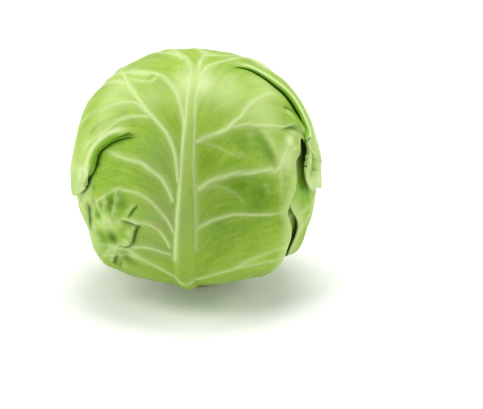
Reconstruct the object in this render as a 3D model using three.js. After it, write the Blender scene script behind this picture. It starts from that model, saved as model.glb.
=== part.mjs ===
// A green cabbage head, standing on the flat cut of its stem.
// Millimetres, +Z up. The origin is the middle of the stem's cut face. The front of the head looks along -Y.
//
// The head is a tight ball of young leaves with six wrapper leaves closed round it. Each wrapper leaf is one
// solid: a thin cupped blade with a raised midrib, raised side ribs, a waved edge and, on the outermost leaf,
// two pleats. Leaves lie in layers, each a little further from the middle of the head than the one below.

import * as THREE from "three";

// Driving dimensions of the head.
const HEAD_CENTRE_Z = 96; // middle of the ball above the cut stem
const HEART_RADIUS = 79.4; // ball of young leaves, at its widest
const FIRST_LAYER = 82.2; // inside of the innermost wrapper leaf, from the middle of the ball
const LAYER_STEP = 2.2; // from one wrapper leaf to the next
const BLADE_THICKNESS = 1.3;
const SURFACE_RADIUS = 92; // of the head's visible surface, to turn arcs into lengths
// Where the head differs from a ball: by which share of its radius, and between which degrees from the stem.
const BASE_PULL_IN = { share: 0.12, full: 8, none: 44 };
const LOWER_SWELL = { share: 0.085, none: 30, full: 60, stillFull: 62, gone: 106 };
const CROWN_PULL_IN = { share: 0.02, none: 125, full: 180 };
const UNEVEN = [0.012, 0.009]; // slow hollows and swellings, as shares of the radius

// Driving dimensions of the stem.
const STEM_RADIUS = 16.5;
const STEM_TOP_RADIUS = 13.5;
const STEM_CUT_BEVEL = 1;
const STEM_SIDES = 24;
const STEM_TO_HEART = 0.5;

// Relief of a wrapper leaf.
const MIDRIB_HEIGHT = [5, 2.6, 0.9]; // at the foot, the middle and the tip
const MIDRIB_HALF_WIDTH = [9, 6, 3];
const SIDE_RIB_HEIGHT = 2.3;
const SIDE_RIB_TAPER = 0.7; // share of its height that a side rib loses on its way to the edge
const SIDE_RIB_END = 0.2; // share of its length over which it then sinks into the blade
const BLISTER_HEIGHT = 0.5; // how far the blade swells between two side ribs
const RIM_START = 0.7; // share of the way from midrib to edge where the waved rim begins
const RIM_SWING = 0.9; // how far the rim swings each way, as a share of the leaf's flare

// Where a leaf lies under another one its relief dies away, between these arcs from the covering leaf.
const COVERED_ARC = THREE.MathUtils.degToRad(8);
const FREE_ARC = THREE.MathUtils.degToRad(17);

const rad = THREE.MathUtils.degToRad;
const { clamp, lerp, smoothstep } = THREE.MathUtils;

// A direction from the middle of the head. Azimuth 0 is the front and grows towards +X, both in degrees.
function direction(azimuth, elevation) {
  const a = rad(azimuth);
  const e = rad(elevation);
  return new THREE.Vector3(Math.sin(a) * Math.cos(e), -Math.cos(a) * Math.cos(e), Math.sin(e));
}

// A value that runs through three given ones as share goes from 0 to 1.
function through([start, middle, end], share) {
  return share < 0.5 ? lerp(start, middle, share * 2) : lerp(middle, end, share * 2 - 1);
}

// How far the head's surface lies from its middle in a direction, as a share of a layer's radius.
function profile(d) {
  const fromStem = THREE.MathUtils.radToDeg(Math.acos(clamp(-d.z, -1, 1)));
  const base = BASE_PULL_IN.share * (1 - smoothstep(fromStem, BASE_PULL_IN.full, BASE_PULL_IN.none));
  const swellStart = smoothstep(fromStem, LOWER_SWELL.none, LOWER_SWELL.full);
  const swellEnd = smoothstep(fromStem, LOWER_SWELL.stillFull, LOWER_SWELL.gone);
  const crown = CROWN_PULL_IN.share * smoothstep(fromStem, CROWN_PULL_IN.none, CROWN_PULL_IN.full);
  const slow = UNEVEN[0] * Math.sin(3.1 * d.x + 1.3) * Math.cos(2.6 * d.z + 0.4);
  const quick = UNEVEN[1] * Math.sin(4.3 * d.y + 3.4 * d.z);
  return 1 - base + LOWER_SWELL.share * swellStart * (1 - swellEnd) - crown + slow + quick;
}

// The point of a layer in a direction from the middle of the head.
function onHead(d, radius) {
  return new THREE.Vector3(0, 0, HEAD_CENTRE_Z).addScaledVector(d, radius * profile(d));
}

// Lays points given in degrees of arc, across and up from a leaf's centre, on the ball of directions.
class LeafPlane {
  constructor(azimuth, elevation) {
    this.centre = direction(azimuth, elevation);
    this.across = direction(azimuth + 90, 0);
    this.up = new THREE.Vector3().crossVectors(this.across, this.centre).negate();
    if (this.up.z < 0) this.up.negate();
  }

  at([x, y]) {
    const arc = rad(Math.hypot(x, y));
    const d = this.centre.clone().multiplyScalar(Math.cos(arc));
    if (arc === 0) return d;
    const out = this.across.clone().multiplyScalar(x).addScaledVector(this.up, y).normalize();
    return d.addScaledVector(out, Math.sin(arc));
  }
}

// The outermost leaf, which faces the front. Its points are degrees of arc across and up from the leaf's
// centre. Lines run from the foot of the leaf to its tip. Each one starts on the midrib and ends at the leaf's
// edge, with the same number of points on the way.
const STATIONS = 5;
const FRONT_CENTRE = [0, 18];
const FRONT_MIDRIB = [
  [-2, -95], [-4, -73], [-5.2, -57], [-5.6, -44], [-5.5, -32], [-5.3, -22], [-5.1, -13],
  [-5, -6], [-4.8, 1], [-3.8, 24], [-0.5, 48], [8, 70], [44, 92],
];
const FRONT_LEFT = [
  [[-5, -94], [-10, -92.5], [-15, -90.5], [-20, -88], [-25, -84.5]],
  [[-10, -74], [-18, -73], [-26, -71.5], [-34, -70], [-43, -68]],
  [[-12, -50], [-22, -43.5], [-32, -41.5], [-44, -45], [-57, -53]],
  [[-12, -33], [-21, -27.5], [-30, -25.5], [-42, -27], [-61, -33]],
  [[-11, -20], [-19, -13], [-31, -10.5], [-44, -11], [-63, -16]],
  [[-11.5, -9], [-20, -1], [-31, 4], [-46, 3], [-64, -13]],
  [[-12, 2], [-22, 12], [-33, 14.8], [-49, 9.5], [-66, -10]],
  [[-12.5, 8], [-24, 20], [-38, 22.5], [-60, 13], [-82, -3]],
  [[-11.5, 14], [-20.5, 26], [-37, 45], [-66, 52], [-96, 30]],
  [[-9, 35], [-17, 46], [-36, 54], [-62, 63], [-90, 62]],
  [[-4, 57], [-8, 64], [-17, 74], [-28, 84], [-42, 97]],
  [[4, 76], [1, 84], [-2, 93], [-4, 103], [-6, 114]],
  [[40, 95], [36, 99], [33, 103], [30, 107], [27, 112]],
];
const FRONT_RIGHT = [
  [[3, -94], [8, -92.5], [13, -90.5], [18, -88], [23, -85]],
  [[4, -73], [12, -72], [21, -70.5], [31, -69], [41, -67]],
  [[3, -52], [13, -48], [24, -46], [36, -47], [49, -50]],
  [[4, -33], [13, -27], [24, -25.5], [37, -27], [53, -33]],
  [[4, -19], [12, -14], [24, -14], [38, -17], [56, -19]],
  [[6, -8], [16, -4], [28, -2.5], [42, -1], [57, -4]],
  [[5, 5], [15, 14], [27, 18.5], [42, 18], [57, 8]],
  [[5, 14], [22, 27], [44, 34], [54, 28], [58, 17]],
  [[7, 36], [24, 57], [52, 48], [71, 20], [83, -12]],
  [[5.5, 44], [20, 62], [50, 64], [82, 38], [101, -10]],
  [[9, 57], [24, 69], [58, 72], [92, 50], [114, 16]],
  [[18, 72], [32, 77], [56, 80], [88, 72], [116, 50]],
  [[50, 92], [56, 91.5], [62, 91], [68, 90], [76, 88]],
];

// A pleat follows one of the leaf's lines: the blade above that line is lifted over the blade below it. The lift
// grows from the share start of the line to the share full, and dies away over PLEAT_REACH lines.
const PLEAT_REACH = 1.6;
const FRONT_PLEATS = [
  { side: -1, line: 6, start: 0.5, full: 0.82, lift: 4.5 },
  { side: 1, line: 8, start: 0.36, full: 0.7, lift: 6 },
];

// An ordinary wrapper leaf: lines fan out from its midrib to an edge that is nearly an ellipse.
const WRAPPER_LINES = 6;
const FAN = [-72, 84]; // where the first and last lines meet the edge, as angles round the leaf in degrees
const FOOT_WIDTH = 0.5; // width of the leaf near its foot, as a share of its full width
const LEAST_REACH = 7; // degrees from the midrib to the edge at the foot and the tip
const LINE_BOW = 0.12; // how much the upper lines arch, as a share of their length

function wrapperLines({ foot, tip, halfWidth, lean }) {
  const midrib = [];
  const left = [];
  const right = [];
  for (let i = 0; i < WRAPPER_LINES; i++) {
    const share = i / (WRAPPER_LINES - 1);
    const start = [lean * share * share, lerp(foot, tip, share)];
    midrib.push(start);
    const turn = rad(lerp(...FAN, share));
    const width = halfWidth * lerp(FOOT_WIDTH, 1, smoothstep(share, 0, 0.4));
    const reach = Math.max(width * Math.cos(turn) ** 0.6, LEAST_REACH);
    const edgeUp = lerp(foot, tip, 0.5 + 0.5 * Math.sin(turn)) + LEAST_REACH * share;
    for (const [side, list] of [[-1, left], [1, right]]) {
      const edge = [start[0] + side * reach, edgeUp];
      const bow = LINE_BOW * share * Math.hypot(edge[0] - start[0], edge[1] - start[1]);
      const line = [];
      for (let n = 1; n <= STATIONS; n++) {
        const part = n / STATIONS;
        const arch = bow * Math.sin(Math.PI * part);
        line.push([lerp(start[0], edge[0], part), lerp(start[1], edge[1], part) + arch]);
      }
      list.push(line);
    }
  }
  return { midrib, left, right };
}

// Draws smooth lines through the given points of each row, and a smooth sheet through the rows.
class LeafSheet {
  constructor(plane, { midrib, left, right }) {
    const line = (start, rest) =>
      new THREE.CatmullRomCurve3([start, ...rest].map((p) => plane.at(p)), false, "centripetal");
    this.sides = {
      [-1]: midrib.map((m, i) => line(m, left[i])),
      [1]: midrib.map((m, i) => line(m, right[i])),
    };
    this.lastLine = midrib.length - 1;
  }

  // Length of the row at t from the midrib to the first station, in millimetres on the head's surface.
  firstStep(side, t) {
    return SURFACE_RADIUS * this.at(side, 0, t).angleTo(this.at(side, 1 / STATIONS, t));
  }

  // The direction at share s of the way from midrib to edge, on the row at t.
  at(side, s, t) {
    const curves = this.sides[side];
    const i = Math.min(Math.floor(t), this.lastLine - 1);
    const f = t - i;
    // Catmull-Rom weights of the four lines round the row.
    const weights = [
      (-f + 2 * f * f - f * f * f) / 2,
      (2 - 5 * f * f + 3 * f * f * f) / 2,
      (f + 4 * f * f - 3 * f * f * f) / 2,
      (-f * f + f * f * f) / 2,
    ];
    const sum = new THREE.Vector3();
    weights.forEach((w, n) => sum.addScaledVector(curves[clamp(i - 1 + n, 0, this.lastLine)].getPoint(s), w));
    return sum.normalize();
  }
}

const ROW_PARTS = [0, 0.2, 0.5, 0.8]; // rows between two lines, with one at each foot of a rib
const MOST_STATIONS_TO_FOOT = 1.5; // how far out the midrib's foot may lie on a short line

// The wave that runs along a leaf's edge, from -1 to 1.
function edgeWave(leaf, side, t) {
  return Math.sin(2 * Math.PI * (leaf.waves * t + leaf.phase) + side);
}

// The grid of a leaf: for each row and column the side, the shares s and t, and the direction.
function gridOf(leaf) {
  const { sheet, columns } = leaf;
  const rows = [];
  for (let i = 0; i < sheet.lastLine; i++) for (const part of ROW_PARTS) rows.push(i + part);
  rows.push(sheet.lastLine);
  return rows.map((t) => {
    const half = (side) => {
      const halfWidth = through(MIDRIB_HALF_WIDTH, t / sheet.lastLine);
      const foot = Math.min(halfWidth / sheet.firstStep(side, t), MOST_STATIONS_TO_FOOT) / STATIONS;
      const shares = [foot * 0.5, foot];
      for (let c = 1; c <= columns; c++) shares.push(lerp(foot, 1, c / columns));
      return shares.map((s) => {
        const scallop = leaf.scallop * smoothstep(s, RIM_START, 1) * (1 - edgeWave(leaf, side, t));
        return { side, s, t, foot, d: sheet.at(side, s * (1 - scallop), t) };
      });
    };
    const right = half(1);
    return [...half(-1).reverse(), { ...right[0], s: 0, d: sheet.at(1, 0, t) }, ...right];
  });
}

// Directions spread closely over a leaf, to measure how near it is.
function samplesOf(leaf) {
  const samples = [];
  const across = 30;
  const along = 5 * leaf.sheet.lastLine;
  for (let j = 0; j <= along; j++)
    for (let i = -across; i <= across; i++)
      samples.push(leaf.sheet.at(i < 0 ? -1 : 1, Math.abs(i) / across, (leaf.sheet.lastLine * j) / along));
  return samples;
}

// How free a direction is of the leaves outside this one, from 0 (covered) to 1.
function freedom(d, outerSamples) {
  let nearest = -1;
  for (const sample of outerSamples.flat()) nearest = Math.max(nearest, sample.dot(d));
  return smoothstep(Math.acos(clamp(nearest, -1, 1)), COVERED_ARC, FREE_ARC);
}

// How far the whole blade is lifted off its layer at a cell, in millimetres.
function liftOf(leaf, { side, s, t }, free) {
  const between = Math.sin(Math.PI * (t - Math.floor(t)));
  let lift = BLISTER_HEIGHT * between * Math.sin(Math.PI * s);
  lift += leaf.flare * smoothstep(s, RIM_START, 1) * (1 + RIM_SWING * edgeWave(leaf, side, t));
  for (const pleat of leaf.pleats) {
    if (pleat.side !== side || t < pleat.line) continue;
    const grown = pleat.lift * smoothstep(s, pleat.start, pleat.full);
    lift += grown * (1 - smoothstep(t, pleat.line, pleat.line + PLEAT_REACH));
  }
  return lift * free;
}

// How far the ribs stand out of the blade at a cell, in millimetres.
function ribOf(leaf, { side, s, t, foot }, free) {
  const share = t / leaf.sheet.lastLine;
  const midrib = through(MIDRIB_HEIGHT, share) * (1 - smoothstep(s, 0, foot));
  const onLine = t === Math.floor(t) && t > 0 && t < leaf.sheet.lastLine;
  const pleated = leaf.pleats.some((pleat) => pleat.side === side && pleat.line === t);
  const sideRib = SIDE_RIB_HEIGHT * (1 - SIDE_RIB_TAPER * s) * smoothstep(1 - s, 0, SIDE_RIB_END);
  return Math.max(midrib, onLine && !pleated ? sideRib : 0) * free;
}

// A closed blade from a grid of outer points and the grid of inner points behind them.
function bladeGeometry(outer, inner) {
  const rows = outer.length;
  const columns = outer[0].length;
  const points = [...outer.flat(), ...inner.flat()];
  const out = (r, c) => r * columns + c;
  const back = (r, c) => rows * columns + out(r, c);
  const faces = [];
  const quad = (a, b, c, d) => faces.push(a, b, c, a, c, d);
  const quadBack = (a, b, c, d) => faces.push(a, c, b, a, d, c);
  for (let r = 0; r + 1 < rows; r++) {
    for (let c = 0; c + 1 < columns; c++) {
      quad(out(r, c), out(r, c + 1), out(r + 1, c + 1), out(r + 1, c));
      quadBack(back(r, c), back(r, c + 1), back(r + 1, c + 1), back(r + 1, c));
    }
    quad(out(r, 0), out(r + 1, 0), back(r + 1, 0), back(r, 0));
    quad(out(r + 1, columns - 1), out(r, columns - 1), back(r, columns - 1), back(r + 1, columns - 1));
  }
  for (let c = 0; c + 1 < columns; c++) {
    quad(out(0, c + 1), out(0, c), back(0, c), back(0, c + 1));
    quad(out(rows - 1, c), out(rows - 1, c + 1), back(rows - 1, c + 1), back(rows - 1, c));
  }
  const geometry = new THREE.BufferGeometry().setFromPoints(points);
  geometry.setIndex(faces);
  geometry.computeVertexNormals();
  return geometry;
}

// The six wrapper leaves, innermost first. Azimuths step round by the golden angle, as leaves grow.
const FOOT = -81;
const WRAPPER_ELEVATION = 5;
const WRAPPERS = [
  { azimuth: -37, tip: 84, halfWidth: 66, lean: 6, flare: 0.8, waves: 0.9, phase: 0.1 },
  { azimuth: 185, tip: 80, halfWidth: 72, lean: -8, flare: 2.4, waves: 1.1, phase: 0.4 },
  { azimuth: 48, tip: 74, halfWidth: 70, lean: 5, flare: 2, waves: 0.9, phase: 0.7 },
  { azimuth: -90, tip: 66, halfWidth: 74, lean: -6, flare: 3, waves: 1, phase: 0.2 },
  { azimuth: 132, tip: 62, halfWidth: 84, lean: 8, flare: 3.2, waves: 1.1, phase: 0.9 },
].map((leaf, i) => ({
  ...leaf,
  name: `wrapper_leaf_${i + 1}`,
  pleats: [],
  columns: 7,
  scallop: 0.035,
  sheet: new LeafSheet(
    new LeafPlane(leaf.azimuth, WRAPPER_ELEVATION),
    wrapperLines({ foot: FOOT, ...leaf }),
  ),
}));
WRAPPERS.push({
  name: "front_leaf",
  columns: 9,
  scallop: 0.015,
  flare: 2.2,
  waves: 0.6,
  phase: 0.3,
  pleats: FRONT_PLEATS,
  sheet: new LeafSheet(new LeafPlane(...FRONT_CENTRE), {
    midrib: FRONT_MIDRIB,
    left: FRONT_LEFT,
    right: FRONT_RIGHT,
  }),
});

const leafMaterial = new THREE.MeshStandardMaterial({ color: 0x9dc658, roughness: 0.5, metalness: 0 });
const heartMaterial = new THREE.MeshStandardMaterial({ color: 0xcfe09a, roughness: 0.5, metalness: 0 });
const stemMaterial = new THREE.MeshStandardMaterial({ color: 0xe9e6c4, roughness: 0.6, metalness: 0 });

function wrapperMeshes() {
  const grids = WRAPPERS.map(gridOf);
  const samples = WRAPPERS.map(samplesOf);
  return WRAPPERS.map((leaf, layer) => {
    const inside = FIRST_LAYER + LAYER_STEP * layer;
    const outside = samples.slice(layer + 1);
    const free = grids[layer].map((row) => row.map((cell) => freedom(cell.d, outside)));
    const surface = (extra) =>
      grids[layer].map((row, r) =>
        row.map((cell, c) => {
          const radius = inside + liftOf(leaf, cell, free[r][c]) + extra(cell, free[r][c]);
          return onHead(cell.d, radius);
        }),
      );
    const inner = surface(() => 0);
    const outer = surface((cell, open) => BLADE_THICKNESS + ribOf(leaf, cell, open));
    const mesh = new THREE.Mesh(bladeGeometry(outer, inner), leafMaterial);
    mesh.name = leaf.name;
    return mesh;
  });
}

// The ball of young leaves. Each young leaf's surface rises towards its edge, which laps over the next one.
const HEART_LEAVES = 5;
const HEART_LEAF_SHARES = [0.03, 0.2, 0.4, 0.6, 0.8, 1]; // columns across one young leaf
const HEART_ROWS = 16;
const HEART_LAP = 1.7; // how far an edge stands over the next leaf
const HEART_SPIRAL = 70; // degrees that an edge winds round from foot to crown

function heartMesh() {
  const columns = [];
  for (let leaf = 0; leaf < HEART_LEAVES; leaf++)
    for (const share of HEART_LEAF_SHARES) columns.push([(360 * (leaf + share)) / HEART_LEAVES, share]);
  const points = [];
  for (let j = 1; j < HEART_ROWS; j++) {
    const elevation = lerp(-90, 90, j / HEART_ROWS);
    for (const [azimuth, share] of columns) {
      const lap = HEART_LAP * share * share * Math.cos(rad(elevation));
      const d = direction(azimuth + (HEART_SPIRAL * elevation) / 180, elevation);
      points.push(onHead(d, HEART_RADIUS + lap));
    }
  }
  const around = columns.length;
  const foot = points.push(onHead(direction(0, -90), HEART_RADIUS)) - 1;
  const crown = points.push(onHead(direction(0, 90), HEART_RADIUS)) - 1;
  const at = (i, j) => (j - 1) * around + (i % around);
  const faces = [];
  for (let i = 0; i < around; i++) {
    faces.push(foot, at(i + 1, 1), at(i, 1), crown, at(i, HEART_ROWS - 1), at(i + 1, HEART_ROWS - 1));
    for (let j = 1; j < HEART_ROWS - 1; j++)
      faces.push(at(i, j), at(i + 1, j), at(i + 1, j + 1), at(i, j), at(i + 1, j + 1), at(i, j + 1));
  }
  const geometry = new THREE.BufferGeometry().setFromPoints(points);
  geometry.setIndex(faces);
  geometry.computeVertexNormals();
  const mesh = new THREE.Mesh(geometry, heartMaterial);
  mesh.name = "inner_head";
  return mesh;
}

function stemMesh() {
  const top = onHead(direction(0, -90), HEART_RADIUS).z - STEM_TO_HEART;
  const outline = [
    [0, 0],
    [STEM_RADIUS - STEM_CUT_BEVEL, 0],
    [STEM_RADIUS, STEM_CUT_BEVEL],
    [STEM_TOP_RADIUS, top],
    [0, top],
  ].map(([x, z]) => new THREE.Vector2(x, z));
  const geometry = new THREE.LatheGeometry(outline, STEM_SIDES).rotateX(Math.PI / 2);
  const mesh = new THREE.Mesh(geometry, stemMaterial);
  mesh.name = "stem";
  return mesh;
}

const cabbage = new THREE.Group();
cabbage.add(stemMesh(), heartMesh(), ...wrapperMeshes());

export default cabbage;
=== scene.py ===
"""A green cabbage head standing on its cut stem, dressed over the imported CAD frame.

The head is a ball of young leaves, six wrapper leaves closed round it and the stub of the stem. Each leaf is
a thin blade with a raised midrib, side veins and a waved rim. The front leaf has two lapped pleats and
creases too. Sizes are millimetres until a mesh is written, which is in metres.
"""

import logging
import math
from dataclasses import dataclass, field
from enum import Enum
from typing import Sequence

import bmesh
import bpy
import numpy as np
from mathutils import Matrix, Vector, noise
from mathutils.kdtree import KDTree


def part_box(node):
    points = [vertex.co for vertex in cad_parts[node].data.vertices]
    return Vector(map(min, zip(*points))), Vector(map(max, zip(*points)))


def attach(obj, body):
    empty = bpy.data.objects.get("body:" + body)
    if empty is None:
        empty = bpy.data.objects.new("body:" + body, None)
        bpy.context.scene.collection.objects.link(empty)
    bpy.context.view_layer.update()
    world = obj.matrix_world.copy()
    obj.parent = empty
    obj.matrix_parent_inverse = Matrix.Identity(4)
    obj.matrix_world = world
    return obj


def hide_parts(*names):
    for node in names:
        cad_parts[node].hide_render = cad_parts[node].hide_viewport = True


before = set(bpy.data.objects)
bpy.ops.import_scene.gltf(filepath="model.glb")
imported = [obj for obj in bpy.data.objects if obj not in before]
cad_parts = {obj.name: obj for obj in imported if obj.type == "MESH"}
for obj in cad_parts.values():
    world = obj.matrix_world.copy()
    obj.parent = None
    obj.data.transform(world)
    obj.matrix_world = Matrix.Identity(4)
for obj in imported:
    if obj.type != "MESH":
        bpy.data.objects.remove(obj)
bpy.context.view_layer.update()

LOG = logging.getLogger("cabbage")
Array = np.ndarray
Pixel = tuple[float, float]
Stop = tuple[float, float]
Colour = tuple[float, float, float, float]

MILLIMETRE = 0.001
STATIONS = 5
SURFACE_RADIUS = 92.0
POINT_SPACING = 2.0
EXTEND_STEP = 8.0


class Side(Enum):
    """The two halves of a leaf, as the front view shows them, and the two hands of a line's way."""

    LEFT = -1
    RIGHT = 1


LEFT, RIGHT = Side.LEFT, Side.RIGHT


class StainAndShade(Enum):
    """What a spot on a leaf does to its colour, by the name that the materials read.

    Bloom and brown are the leaf's own marks, and fold is painted shade in creases, crevices and under
    lapped edges. Deep and lush are partly the leaf's own darker and richer green and partly painted shade,
    and pale is partly its own paler green and partly painted highlight.
    """

    DEEP = "deep"
    LUSH = "lush"
    PALE = "pale"
    CREVICE_SHADE = "fold"
    BLOOM = "bloom"
    BROWN = "brown"


def smoothstep(x: Array, low: float, high: float) -> Array:
    """A smooth step from 0 at low to 1 at high."""
    t = np.clip((np.asarray(x, float) - low) / (high - low), 0, 1)
    return t * t * (3 - 2 * t)


def bell(distance: Array, width: Array | float) -> Array:
    """1 at distance 0, falling off smoothly over a width on both sides."""
    return np.exp(-((distance / width) ** 2))


def fading(distance: Array, run: Array | float) -> Array:
    """1 up to distance 0, and from there fading over a run."""
    return np.exp(-np.maximum(distance, 0) / run)


def through(stops: Sequence[float], share: Array) -> Array:
    """A value that runs evenly through the given stops as share goes from 0 to 1."""
    return np.interp(share, np.linspace(0, 1, len(stops)), stops)


def at_stops(stops: tuple[Stop, ...], share: Array) -> Array:
    """A value that runs through stops of (share, value)."""
    return np.interp(share, *np.array(stops).T)


def unit(vectors: Array) -> Array:
    """Vectors scaled to length 1."""
    return vectors / np.linalg.norm(vectors, axis=-1, keepdims=True)


def raise_to(layer: Array, values: Array, index: Array | slice = slice(None)) -> None:
    """Raises a layer of vertex values to the given ones, where it lies below them."""
    layer[index] = np.maximum(layer[index], values)


def direction(azimuth: Array, elevation: Array) -> Array:
    """Directions from the middle of the head.

    Args:
        azimuth: degrees from the front, growing towards +X.
        elevation: degrees above the horizon.

    Returns:
        Unit vectors along the last axis.
    """
    a, e = np.radians(azimuth), np.radians(elevation)
    return np.stack([np.sin(a) * np.cos(e), -np.cos(a) * np.cos(e), np.sin(e) + 0 * a], axis=-1)


def fractal(points: Array, size: float, octaves: int = 3, seed: float = 0.0) -> Array:
    """Smooth noise from about -1 to 1 at each point.

    Args:
        points: places in millimetres.
        size: millimetres of the widest swellings.
        octaves: how many finer layers are added.
        seed: moves the pattern.

    Returns:
        One value a point.
    """
    shift = Vector((seed * 17.3, seed * -9.1, seed * 5.7))
    return np.array([noise.fractal(Vector(p) / size + shift, 1.0, 2.0, octaves) for p in points])


@dataclass(frozen=True)
class HeadShape:
    """Where the head's surface lies, as a ball with a pulled-in base and crown and a swollen lower half."""

    centre_z: float = 96.0
    base_share: float = 0.12
    base_full: float = 8.0
    base_none: float = 44.0
    swell_share: float = 0.085
    swell_none: float = 30.0
    swell_full: float = 60.0
    swell_still_full: float = 62.0
    swell_gone: float = 106.0
    crown_share: float = 0.022
    crown_none: float = 125.0
    crown_full: float = 180.0
    back_share: float = 0.011
    back_none: float = 0.5
    uneven: tuple[float, float] = (0.012, 0.009)
    slow_waves: tuple[float, float, float, float] = (3.1, 1.3, 2.6, 0.4)
    quick_waves: tuple[float, float] = (4.3, 3.4)

    def profile(self, d: Array) -> Array:
        """How far the surface lies out in each direction.

        Args:
            d: unit vectors from the middle of the head.

        Returns:
            The distance from the middle, as a share of a layer's radius.
        """
        from_stem = np.degrees(np.arccos(np.clip(-d[..., 2], -1, 1)))
        base = self.base_share * (1 - smoothstep(from_stem, self.base_full, self.base_none))
        start = smoothstep(from_stem, self.swell_none, self.swell_full)
        end = smoothstep(from_stem, self.swell_still_full, self.swell_gone)
        crown = self.crown_share * smoothstep(from_stem, self.crown_none, self.crown_full)
        back = self.back_share * smoothstep(d[..., 1], self.back_none, 1)
        turn_x, shift_x, turn_z, shift_z = self.slow_waves
        slow = self.uneven[0] * np.sin(turn_x * d[..., 0] + shift_x) * np.cos(turn_z * d[..., 2] + shift_z)
        quick = self.uneven[1] * np.sin(self.quick_waves[0] * d[..., 1] + self.quick_waves[1] * d[..., 2])
        return 1 - base + self.swell_share * start * (1 - end) - crown - back + slow + quick

    def point(self, d: Array, radius: Array) -> Array:
        """Points of a layer of the given radius in directions d."""
        out = d * (np.asarray(radius) * self.profile(d))[..., None]
        return out + np.array([0, 0, self.centre_z])


HEAD = HeadShape()


@dataclass(frozen=True)
class PhotoCamera:
    """The camera at the photograph's viewing angle, and the way from its pixels to the head."""

    elevation: float = 20.0
    distance: float = 1800.0
    focal: float = 2304.0
    target: Pixel = (196.0, 166.0)
    width: float = 483.0
    height: float = 409.0
    sensor: float = 36.0
    surface: float = 94.5
    clip: tuple[float, float] = (0.05, 50.0)
    rounds: int = 8
    faces_away: float = 0.12
    lift_none: float = 0.15
    lift_full: float = 0.45

    def axes(self) -> tuple[Array, Array, Array]:
        """Gives the camera's axes.

        Returns:
            Unit vectors forward, to the right and up in the view.
        """
        e = math.radians(self.elevation)
        forward = np.array([0, math.cos(e), -math.sin(e)])
        right = np.array([1.0, 0, 0])
        return forward, right, np.cross(right, forward)

    def station(self) -> Array:
        """Where the camera stands, in millimetres."""
        return np.array([0, 0, HEAD.centre_z]) - self.axes()[0] * self.distance

    def place(self) -> None:
        """Makes the camera and gives it to the scene."""
        data = bpy.data.cameras.new("camera")
        data.sensor_fit = "HORIZONTAL"
        data.sensor_width = self.sensor
        data.lens = self.focal / self.width * self.sensor
        data.shift_x = (self.width / 2 - self.target[0]) / self.width
        data.shift_y = -(self.height / 2 - self.target[1]) / self.width
        data.clip_start, data.clip_end = self.clip
        camera = bpy.data.objects.new("camera", data)
        camera.location = Vector(self.station() * MILLIMETRE)
        camera.rotation_mode = "QUATERNION"
        camera.rotation_quaternion = Vector(self.axes()[0]).to_track_quat("-Z", "Y")
        bpy.context.scene.collection.objects.link(camera)
        bpy.context.scene.camera = camera

    def directions(self, pixels: Sequence[Pixel], lift: Array | float = 0.0) -> Array:
        """Directions from the middle of the head to what the given pixels show of its surface.

        Args:
            pixels: places in the photograph's frame, from its upper left corner.
            lift: how many millimetres above the surface each of them lies.

        Returns:
            One unit vector a pixel. A pixel just off the head gives the nearest place on its outline.
        """
        forward, right, up = self.axes()
        place = np.asarray(pixels, float)
        x = (place[:, :1] - self.target[0]) / self.focal
        y = (self.target[1] - place[:, 1:]) / self.focal
        rays = unit(forward + right * x + up * y)
        start = self.station() - np.array([0, 0, HEAD.centre_z])
        surface = self.surface + np.asarray(lift) * np.ones(len(place))
        radius = surface
        for _ in range(self.rounds):
            along = -(rays @ start)
            aside = np.sum((start + rays * along[:, None]) ** 2, axis=1)
            back = np.sqrt(np.maximum(radius**2 - aside, 0))
            d = unit(start + rays * (along - back)[:, None])
            radius = surface * HEAD.profile(d)
        return d

    def seen(self, d: Array, lift: Array) -> Array:
        """Where points above the surface appear on it to this camera.

        Args:
            d: the points' directions from the middle of the head.
            lift: how many millimetres above the surface they lie.

        Returns:
            One unit vector a point, which is its own direction where it faces away.
        """
        forward, right, up = self.axes()
        facing = -(d @ forward)
        lift = lift * smoothstep(facing, self.lift_none, self.lift_full)
        away = HEAD.point(d, self.surface + lift) - self.station()
        depth = away @ forward
        across = self.target[0] + away @ right / depth * self.focal
        down = self.target[1] - away @ up / depth * self.focal
        places = self.directions(np.stack([across, down], axis=1))
        return np.where(facing[:, None] > self.faces_away, places, d)


PHOTO = PhotoCamera()


@dataclass(frozen=True)
class LeafPlane:
    """Lays points given in degrees of arc, across and up from a leaf's centre, on the ball of directions."""

    azimuth: float
    elevation: float

    def at(self, places: Array) -> Array:
        """Lays places on the ball.

        Args:
            places: degrees across and up along the last axis.

        Returns:
            Their unit vectors from the middle of the head.
        """
        centre = direction(self.azimuth, self.elevation)
        across = direction(self.azimuth + 90, 0)
        up = np.cross(centre, across)
        up = up if up[2] > 0 else -up
        x, y = places[..., :1], places[..., 1:]
        arc = np.hypot(x, y)
        out = (across * x + up * y) / np.maximum(arc, 1e-9)
        return centre * np.cos(np.radians(arc)) + out * np.sin(np.radians(arc))


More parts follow.
